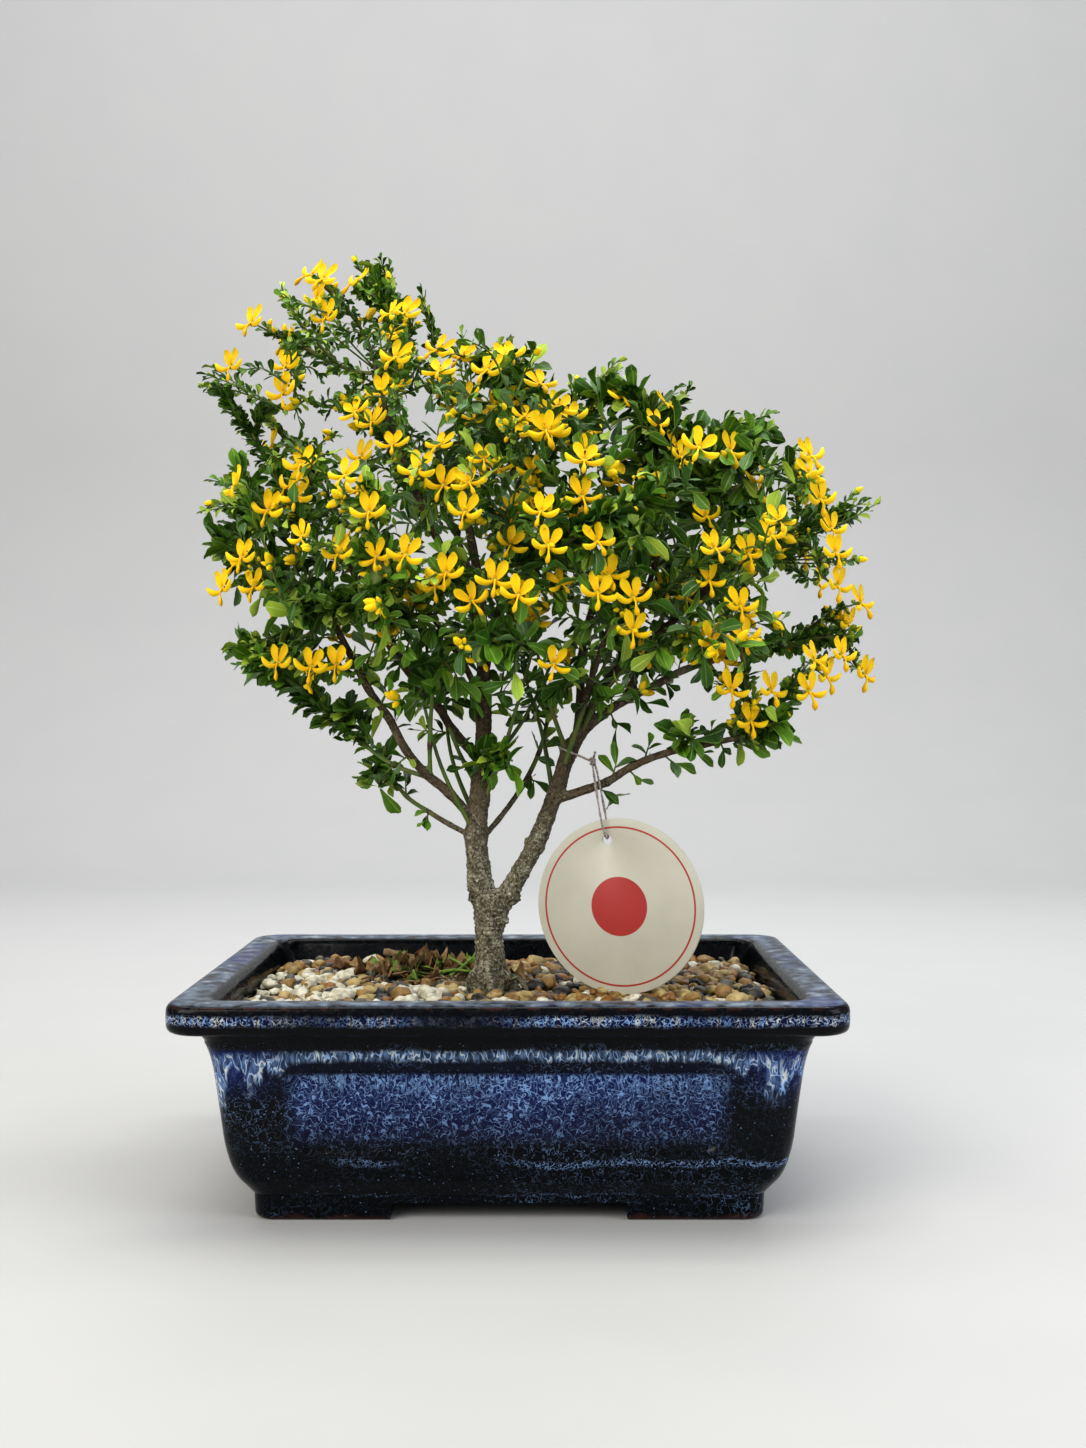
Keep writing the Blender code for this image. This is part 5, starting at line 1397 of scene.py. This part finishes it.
class BONSAI_OT_sprays(BonsaiOperator, bpy.types.Operator):
    """Replaces each spray by one with cupped petals, veined leaves, buds and round stems, in place"""

    bl_idname = "bonsai.sprays"
    bl_label = "Flowering and leafy sprays"

    def execute(self, context):
        share = sizes().leaf_share / 100
        read = {node: read_spray(node) for node in spray_nodes()}
        stems = {}
        for node, (_, _, _, (points, faces)) in read.items():
            stem = scratch("stem", points, faces)
            stem.modifiers.new("round", "SUBSURF").levels = 1
            stem.modifiers["round"].render_levels = 1
            stems[node] = stem
        for blooms, _, _, _ in read.values():
            BLOOM_PLACES.extend(Vector(centre) for _, _, centre, _ in blooms)
        for node, (blooms, leaves, seats, _) in read.items():
            draw = random.Random(node)
            shape = Shape()
            mesh = worked(stems[node])
            shape.add(*read_mesh(mesh), finish=STEM)
            bpy.data.meshes.remove(mesh)
            drop(stems[node])
            for turn, scale, centre, _ in blooms:
                put_bloom(shape, draw.choice(BLOOMS), centre, turned_out(turn), scale * BLOOM_SHARE)
            for base, ahead, face, long, wide in leaves:
                tone = GROWN if draw.random() < 0.55 else draw.choice((OLD, YOUNG, GROWN))
                size = long * (0.62 if fine_leaved(base) else 1.02)
                put_leaf(shape, draw, base, ahead, face, size, wide / long * 0.95, tone, FINE_GRIDS)
            flowering = bool(blooms)
            STEM_PLACES.extend(a.lerp(b, 0.5) for a, b, _ in seats)
            STEM_PLACES.extend(base for base, *_ in leaves)
            for a, b, off in seats:
                span = (b - a).length
                fine = fine_leaved(a)
                for k in range(round(span / (2.3 if fine else 4.2) + draw.uniform(-0.5, 0.5))):
                    point = a.lerp(b, draw.random())
                    along = (b - a).normalized()
                    if along.z < 0:
                        along = -along
                    spread = math.radians(draw.uniform(30, 65))
                    way = along * math.cos(spread) + off * math.sin(spread)
                    way = (way + any_way(draw) * 0.25).normalized()
                    long = draw.uniform(3.2, 7.0) if flowering else draw.uniform(5, 9)
                    if fine:
                        long *= 0.58
                    face = face_up(way, draw)
                    put_leaf(shape, draw, point, way, face, long, share, leaf_finish(draw, 0.14))
                if flowering and draw.random() < 0.16:
                    point = a.lerp(b, draw.random())
                    way = (off + any_way(draw) * 0.5 + UP * 0.4).normalized()
                    put_bud(shape, point, way, draw.uniform(2.4, 4.2))
            piece(node + "_fine", shape, foliage_finishes(), [node])
        return {"FINISHED"}


def in_zone(place, zone):
    left, right, low, high = zone
    return left < place.x < right and low < place.z < high


def fine_leaved(place):
    """Whether a place is in the crown's upper left or far right, where leaves are half as long."""
    return any(in_zone(place, zone) for zone in FINE_ZONES)


def in_crown(point, gap=0.0):
    """Whether a place is inside the crown's outline, seen from the front, and not too far forward or back."""
    depth = CROWN_DEPTH * math.sqrt(max(0.0, 1 - ((point.z - CROWN_DEEPEST) / CROWN_HALF_HEIGHT) ** 2)) - gap
    if abs(point.y) > depth:
        return False
    for dx, dz in ((-gap, 0), (gap, 0), (0, -gap), (0, gap)):
        x, z = point.x + dx, point.z + dz
        inside = False
        for (x0, z0), (x1, z1) in zip(CROWN, CROWN[1:] + CROWN[:1]):
            if (z0 > z) != (z1 > z) and x < x0 + (x1 - x0) * (z - z0) / (z1 - z0):
                inside = not inside
        if not inside:
            return False
    return True


def crown_places(draw, step):
    """Places spread evenly through the crown, each moved a little from its lattice point."""
    out = []
    for x in np.arange(-104, 122, step):
        for y in np.arange(-58, 59, step):
            for z in np.arange(142, 308, step):
                place = Vector((x, y, z)) + any_way(draw) * step * 0.5
                if in_crown(place, 5.5):
                    out.append(place)
    return out


def gaps_to(points, place):
    """How far each of the points is from a place."""
    return np.linalg.norm(points - np.array(place), axis=1)


def fill_depth(place):
    """How far from the CAD's branches and sprays a shoot may end here: deepest where the crown is closed in
    the upper middle, and least at the lower left, where the photograph sees through it."""
    if in_zone(place, OPEN_ZONE):
        return 8.0
    if in_zone(place, CLOSED_ZONE):
        return 23.0
    return 15.5 if place.y < 8 else 12.5


def stem_for(found, end):
    """The place on the known stems from which a shoot to this end starts. It rather grows up and outward
    than back or down, and isn't shorter than 3 mm."""
    gaps = gaps_to(found, end)
    cost = gaps + 0.5 * np.maximum(0, found[:, 2] - end.z)
    return Vector(found[int(np.argmin(np.where(gaps < 3.0, 1e9, cost)))])


def put_outer_bloom(shape, draw, end, outward):
    """Ends a shoot in a bloom on a short stalk, unless it would leave the crown or cross another."""
    facing = outward + Vector((0, -0.35 if end.y < 12 else 0.2, 0)) + any_way(draw) * 0.45
    facing = Vector((facing.x, facing.y, min(facing.z, 0.6 * facing.xy.length))).normalized()
    centre = end + outward * 3.2
    if in_crown(centre + outward * 2, 0) and not near_bloom(centre, 8.6):
        BLOOM_PLACES.append(centre)
        axes = (*bloom_axes(facing, draw.uniform(-0.6, 0.6)), facing)
        put_bloom(shape, draw.choice(BLOOMS), centre, axes, draw.uniform(4.6, 6.4))
        shape.add(*tube([end, end.lerp(centre, 0.5), centre - facing * 1.2], (0.4, 0.4, 0.5), 5), YOUNG)


def fill_crown(draw, shapes, stems):
    """Grows leafy shoots to places all through the crown, the nearest first, each from the stems so far."""
    s = sizes()
    size, share, flowering = s.leaf / MM, s.leaf_share / 100, s.bloom_share / 100
    ends = []
    for place in crown_places(draw, s.shoot_step / MM):
        gap = float(np.min(gaps_to(stems[0], place)))
        if gap < fill_depth(place):
            ends.append((gap, place))
    for _, end in sorted(ends, key=lambda pair: pair[0]):
        start = stem_for(np.concatenate(stems), end)
        lead = (UP * 0.8 + (end - start).normalized() + any_way(draw) * 0.4).normalized()
        outward = Vector((end.x - 4, end.y * 1.6, 0.4 * (end.z - 200) + 10)).normalized()
        edge = not in_crown(end, 14)
        if edge and draw.random() < (0.2 if fine_leaved(end) else 0.38):
            continue
        if edge and draw.random() < 0.4:
            end = end + (outward + UP * 0.3) * draw.uniform(2, 9)
        side = "left" if end.x < -40 else "right" if end.x > 38 else "middle"
        shape = shapes.setdefault(f"leafy_shoots_{side}_{'front' if end.y < 0 else 'back'}", Shape())
        fine = fine_leaved(end)
        if fine and draw.random() < 0.12:
            continue
        scale = 0.5 if fine else 1.05 if end.x > 5 or end.z < 185 else 0.72 if edge else 0.84
        young = 0.42 if in_zone(end, YOUNG_ZONE) else 0.10
        hoary = 0.34 if in_zone(end, HOARY_ZONE) else 0.07
        leafy, crowd = (20.0, 4.4) if fine else (14.0, 3.4)
        route = put_shoot(shape, draw, start, lead, end, size * scale, share, young, leafy, crowd, hoary)
        stems.append(np.array(route[2:]))
        rim = not in_crown(end + outward * 13, 0.0)
        airy = rim and (end.z > 186 or abs(end.x) > 55)
        if draw.random() < (flowering if airy else 0.2 if end.y < -12 else 0.0):
            put_outer_bloom(shape, draw, end, outward)
        elif (rim or draw.random() < 0.3) and draw.random() < 0.4:
            for _ in range(draw.randint(1, 4)):
                way = (outward + any_way(draw) * 0.8).normalized()
                put_bud(shape, end + way * 0.6, way, draw.uniform(3.0, 5.8))


def put_sprigs(draw, shape, found):
    """Grows three thin sprigs out of the crown to each of their places, some with a bud."""
    share = sizes().leaf_share / 100
    for end in map(Vector, SPRIGS):
        inward = Vector((end.x * 0.75, end.y * 0.6, 200 + (end.z - 200) * 0.72))
        start = Vector(found[int(np.argmin(gaps_to(found, inward)))])
        for turn in range(3):
            tip = end + any_way(draw) * 5.0 * min(turn, 1)
            lead = ((tip - start).normalized() + any_way(draw) * 0.3).normalized()
            put_shoot(shape, draw, start, lead, tip, 3.9, share, 0.3, 24.0, 3.6)
            if turn and draw.random() < 0.5:
                put_bud(shape, tip, (tip - start).normalized(), draw.uniform(3.0, 4.5))


# Where leaves sit low on the branches and whips: how far along they start, the gap between them in
# millimetres, and their size over the usual one.
LOW_LEAVES = {
    "left_low": (0.25, 7, 0.75), "left_thin": (0.1, 9, 0.7), "left_lowest": (0.3, 7, 0.75),
    "right_low": (0.14, 4.5, 0.85), "left_riser": (0.2, 12, 0.6), "left_inner": (0.3, 9, 0.6),
    "middle_twig": (0.5, 6, 1.0), "left_high": (0.2, 12, 0.6), "right_reaching": (0.1, 5.5, 0.95),
    "right_rising": (0.2, 12, 0.8),
}
WHIP_LEAVES = (0.55, 7, 0.8)
LOW_LEAVES_TOP = 176


def put_low_leaves(draw, shape, limbs):
    """Sets small leaves low on the branches, and the whips with theirs."""
    size, share = sizes().leaf / MM, sizes().leaf_share / 100
    rows = [(limbs[name][0], *row) for name, row in LOW_LEAVES.items()]
    for route in WHIPS:
        line = smooth_route(route, 8)
        shape.add(*tube(line, [0.95 - 0.03 * i for i in range(len(line))], 6), STEM)
        rows.append((line, *WHIP_LEAVES))
    for line, first, gap, scale in rows:
        gone = sum((b - a).length for a, b in zip(line, line[1:])) * -first
        turn = 1
        for a, b in zip(line, line[1:]):
            gone += (b - a).length
            if gone < gap or b.z > LOW_LEAVES_TOP:
                continue
            gone = draw.uniform(-2, 2)
            turn = -turn
            lead = ((b - a).normalized() * 0.6 + any_way(draw) * 0.5 + UP * 0.7 * turn).normalized()
            end = b + lead * draw.uniform(2.5, 7.0)
            put_shoot(shape, draw, b, lead, end, size * scale * draw.uniform(0.75, 1.1), share, 0.1)


class BONSAI_OT_foliage(BonsaiOperator, bpy.types.Operator):
    """Fills the crown with small leafy shoots, each from the nearest wood or stem, and a few more blooms"""

    bl_idname = "bonsai.foliage"
    bl_label = "Crown foliage"

    def execute(self, context):
        draw = random.Random(21)
        limbs = limb_lines()
        wood = []
        for name, (line, _) in limbs.items():
            bare = 0.55 if name in ("left_limb", "right_limb") else 0.25
            wood += line[int(bare * len(line)):]
        stems = [np.array(wood + STEM_PLACES)]
        shapes = {}
        fill_crown(draw, shapes, stems)
        for name, put, known in (("leafy_shoots_sprigs", put_sprigs, np.concatenate(stems)),
                                 ("leafy_shoots_low", put_low_leaves, limbs)):
            put(draw, shapes.setdefault(name, Shape()), known)
        for name, shape in shapes.items():
            piece(name, shape, foliage_finishes())
        return {"FINISHED"}


def tag_axes():
    right = Vector((math.cos(TAG_TURN), -math.sin(TAG_TURN), 0))
    out = Vector((-math.sin(TAG_TURN), -math.cos(TAG_TURN), 0))
    lean = Matrix.Rotation(TAG_LEAN, 3, out)
    return lean @ right, lean @ UP, out


class BONSAI_OT_tag(BonsaiOperator, bpy.types.Operator):
    """Cuts the round card tag, with its hole and soft edges"""

    bl_idname = "bonsai.tag"
    bl_label = "Hang tag"

    def execute(self, context):
        right, up, out = tag_axes()
        sides = 96
        edge = ((0.0, 0.25), (0.06, 0.08), (0.25, 0.0), (TAG_THICK - 0.25, 0.0), (TAG_THICK - 0.06, 0.08),
                (TAG_THICK, 0.25))
        rings = [circle(TAG_RADIUS - inset, z, sides) for z, inset in edge]
        # The hole's rings have as many points as the card's, so that one skin runs round both.
        hole = [circle(TAG_HOLE + inset * 0.6, z, sides, 0.0, TAG_HOLE_UP) for z, inset in reversed(edge)]
        shape = Shape()
        points, faces = loft(rings + hole + [rings[0]], caps=False)
        shape.add(points, faces)
        matrix = Matrix((right, up, out)).transposed().to_4x4()
        matrix.translation = TAG_CENTRE * MM + Vector(MIDDLE)
        tag = piece("card_tag", shape, [shared("coated_card", coated_card)], ["hang_tag"], matrix)
        keep_edges(tag, 50)
        return {"FINISHED"}


def twist(shape, route, radius, pitch=2.4):
    """Two plies that wind round each other along a route."""
    fine = smooth_route(route, 7)
    run = 0.0
    plies = ([], [])
    last = None
    for point, _, side, over in frames(fine):
        run += (point - last).length if last is not None else 0.0
        last = point
        for k, ply in enumerate(plies):
            angle = 2 * math.pi * run / pitch + math.pi * k
            ply.append(point + (side * math.cos(angle) + over * math.sin(angle)) * radius * 0.48)
    for ply in plies:
        shape.add(*tube(ply, [radius * 0.56] * len(ply), 6)[:2])


class BONSAI_OT_tie(BonsaiOperator, bpy.types.Operator):
    """Twists the twine round the limb, down through the tag's hole and up to its knot"""

    bl_idname = "bonsai.tie"
    bl_label = "Twine tie"

    def execute(self, context):
        _, up, out = tag_axes()
        hole = TAG_CENTRE + up * TAG_HOLE_UP
        radius = sizes().twine / MM
        front = Vector((0, -1, 0))
        side = TIE_ALONG.cross(front)
        reach = TIE_KNOT - TIE_AT
        start = math.atan2(reach.dot(side), reach.dot(front))
        grip = math.acos(TIE_RADIUS / reach.length)
        ring = []
        for step in range(8):
            angle = start + grip + 2 * (math.pi - grip) * step / 7
            ring.append(TIE_AT + (front * math.cos(angle) + side * math.sin(angle)) * TIE_RADIUS)
        thread = [hole + out * forward + up * above for forward, above in TIE_THREAD]
        shape = Shape()
        twist(shape, [TIE_KNOT, *ring, TIE_KNOT], radius)
        down, back = TIE_KNOT + Vector((0.2, -0.4, -3.0)), TIE_KNOT + Vector((1.4, 0.6, -3.2))
        twist(shape, [TIE_KNOT, down, *thread, back, TIE_KNOT], radius)
        free_end = [TIE_KNOT + Vector(step) for step in ((0.4, -0.5, 1.8), (0.8, -0.8, 3.4))]
        twist(shape, [TIE_KNOT, *free_end], radius)
        # The knot is a small coil of three turns.
        coil = [TIE_KNOT + Vector((0.75 * math.cos(a), 0.75 * math.sin(a), 0.14 * a - 1.1))
                for a in [i * 0.6 for i in range(30)]]
        shape.add(*tube(coil, [0.42] * len(coil), 6)[:2])
        piece("twine_tie", shape, [shared("spun_twine", spun_twine)], ["tag_tie"])
        return {"FINISHED"}


def heap(x, y):
    """How high the litter is heaped here, from 0 to 1 at its middle."""
    return math.exp(-((x + 30) / 11) ** 2 - ((y - 25) / 10) ** 2)


class BONSAI_OT_litter(BonsaiOperator, bpy.types.Operator):
    """Scatters dry leaves, dead twigs and green clippings on the pebbles behind the trunk"""

    bl_idname = "bonsai.litter"
    bl_label = "Leaf litter"

    def execute(self, context):
        draw = random.Random(8)
        low, high = [(np.array(corner) - MIDDLE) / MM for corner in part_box("leaf_litter")]
        ground = low[2] + 0.3
        shape = Shape()
        for points, ends in (
            (((-47, 31, 6.5), (-40, 29, 5.6), (-32, 27, 3.6), (-24, 22, 1.0)), (1.35, 0.8)),
            (((-38, 38, 0.6), (-32, 30, 1.4), (-27, 20, 1.2), (-25, 13, 0.4)), (0.9, 0.6)),
            (((-42, 18, 1.0), (-33, 20, 2.2), (-24, 26, 2.0), (-15, 30, 1.0)), (0.7, 0.4)),
            (((-20, 10, 0.8), (-17, 17, 2.4), (-15, 24, 1.6)), (0.6, 0.4)),
        ):
            route = smooth_route([(x, y, z + ground) for x, y, z in points], 4)
            count = len(route) - 1
            radii = [ends[0] + (ends[1] - ends[0]) * i / count for i in range(count + 1)]
            shape.add(*tube(route, [r * draw.uniform(0.85, 1.15) for r in radii], 7)[:2])
        for points in (
            ((-22, 12, 1.0), (-18, 15, 3.6), (-15, 19, 6.2)),
            ((-14, 14, 0.8), (-18, 17, 4.0), (-23, 19, 6.5)),
            ((-27, 14, 1.5), (-21, 12, 3.0), (-14, 12, 2.4)),
        ):
            route = smooth_route([(x, y, z + ground) for x, y, z in points], 3)
            shape.add(*tube(route, np.linspace(0.75, 0.4, len(route)), 6)[:2], finish=3)
        for i in range(120):
            x, y = draw.gauss(-32, 10), draw.gauss(25, 7)
            z = ground + draw.uniform(0.0, 0.8) + 5.2 * heap(x, y) * draw.random()
            turn = draw.uniform(0, 2 * math.pi)
            ahead = Vector((math.cos(turn), math.sin(turn), draw.uniform(-0.12, 0.12))).normalized()
            face = (UP + any_way(draw) * 0.3).normalized()
            mark = draw.choice((0, 1, 1, 2, 2, 2)) if i % 6 else 3
            long, wide = draw.uniform(4.5, 9), draw.uniform(0.35, 0.6)
            put_leaf(shape, draw, Vector((x, y, z)), ahead, face, long, wide, mark, CURLED_GRIDS)
        for i in range(95):
            x, y = draw.gauss(-28, 11), draw.gauss(22, 9)
            start = Vector((x, y, ground + 0.4 + 5.0 * heap(x, y) * draw.random()))
            turn = draw.uniform(0, 2 * math.pi)
            way = Vector((math.cos(turn), math.sin(turn), draw.uniform(-0.08, 0.12))).normalized()
            way *= draw.uniform(4, 11)
            route = [start, start + way * 0.5 + UP * draw.uniform(0, 0.7), start + way]
            shape.add(*tube(route, (0.35, 0.3, 0.15), 5)[:2], finish=draw.choice((0, 1, 3)))
        dead = (
            ("dead_twig", "#a08a6a", "#5c4a34"),
            ("dead_leaf_brown", "#806044", "#40301f"),
            ("dead_leaf_tan", "#a58a62", "#5e4a30"),
            ("cut_green", "#8aa552", "#54702f"),
        )
        finishes = [shared(kind[0], dry_litter, *kind) for kind in dead]
        piece("litter_heap", shape, finishes, ["leaf_litter"])
        return {"FINISHED"}


class BONSAI_PT_looks(bpy.types.Panel):
    """Lists the steps that dress the bonsai, and its sizes and colours"""

    bl_idname = "BONSAI_PT_looks"
    bl_label = "Broom bonsai"
    bl_space_type = "VIEW_3D"
    bl_region_type = "UI"
    bl_category = "Bonsai"

    def draw(self, context):
        for operator in OPERATORS:
            self.layout.operator(operator.bl_idname)
        for group in (context.scene.bonsai_sizes, context.scene.bonsai_colours):
            column = self.layout.column()
            for name in group.bl_rna.properties.keys():
                if name not in ("rna_type", "name"):
                    column.prop(group, name)


OPERATORS = (
    BONSAI_OT_stage, BONSAI_OT_pot, BONSAI_OT_ground, BONSAI_OT_wood, BONSAI_OT_sprays, BONSAI_OT_foliage,
    BONSAI_OT_tag, BONSAI_OT_tie, BONSAI_OT_litter,
)
CLASSES = (BonsaiSizes, BonsaiColours, *OPERATORS, BONSAI_PT_looks)


def register():
    for kind in CLASSES:
        bpy.utils.register_class(kind)
    bpy.types.Scene.bonsai_sizes = PointerProperty(type=BonsaiSizes)
    bpy.types.Scene.bonsai_colours = PointerProperty(type=BonsaiColours)


def unregister():
    del bpy.types.Scene.bonsai_sizes
    del bpy.types.Scene.bonsai_colours
    for kind in reversed(CLASSES):
        bpy.utils.unregister_class(kind)


def main():
    register()
    bpy.ops.bonsai.stage()
    bpy.ops.bonsai.pot()
    bpy.ops.bonsai.ground()
    bpy.ops.bonsai.wood()
    bpy.ops.bonsai.sprays()
    bpy.ops.bonsai.foliage()
    bpy.ops.bonsai.tag()
    bpy.ops.bonsai.tie()
    bpy.ops.bonsai.litter()


if __name__ == "__main__":
    main()
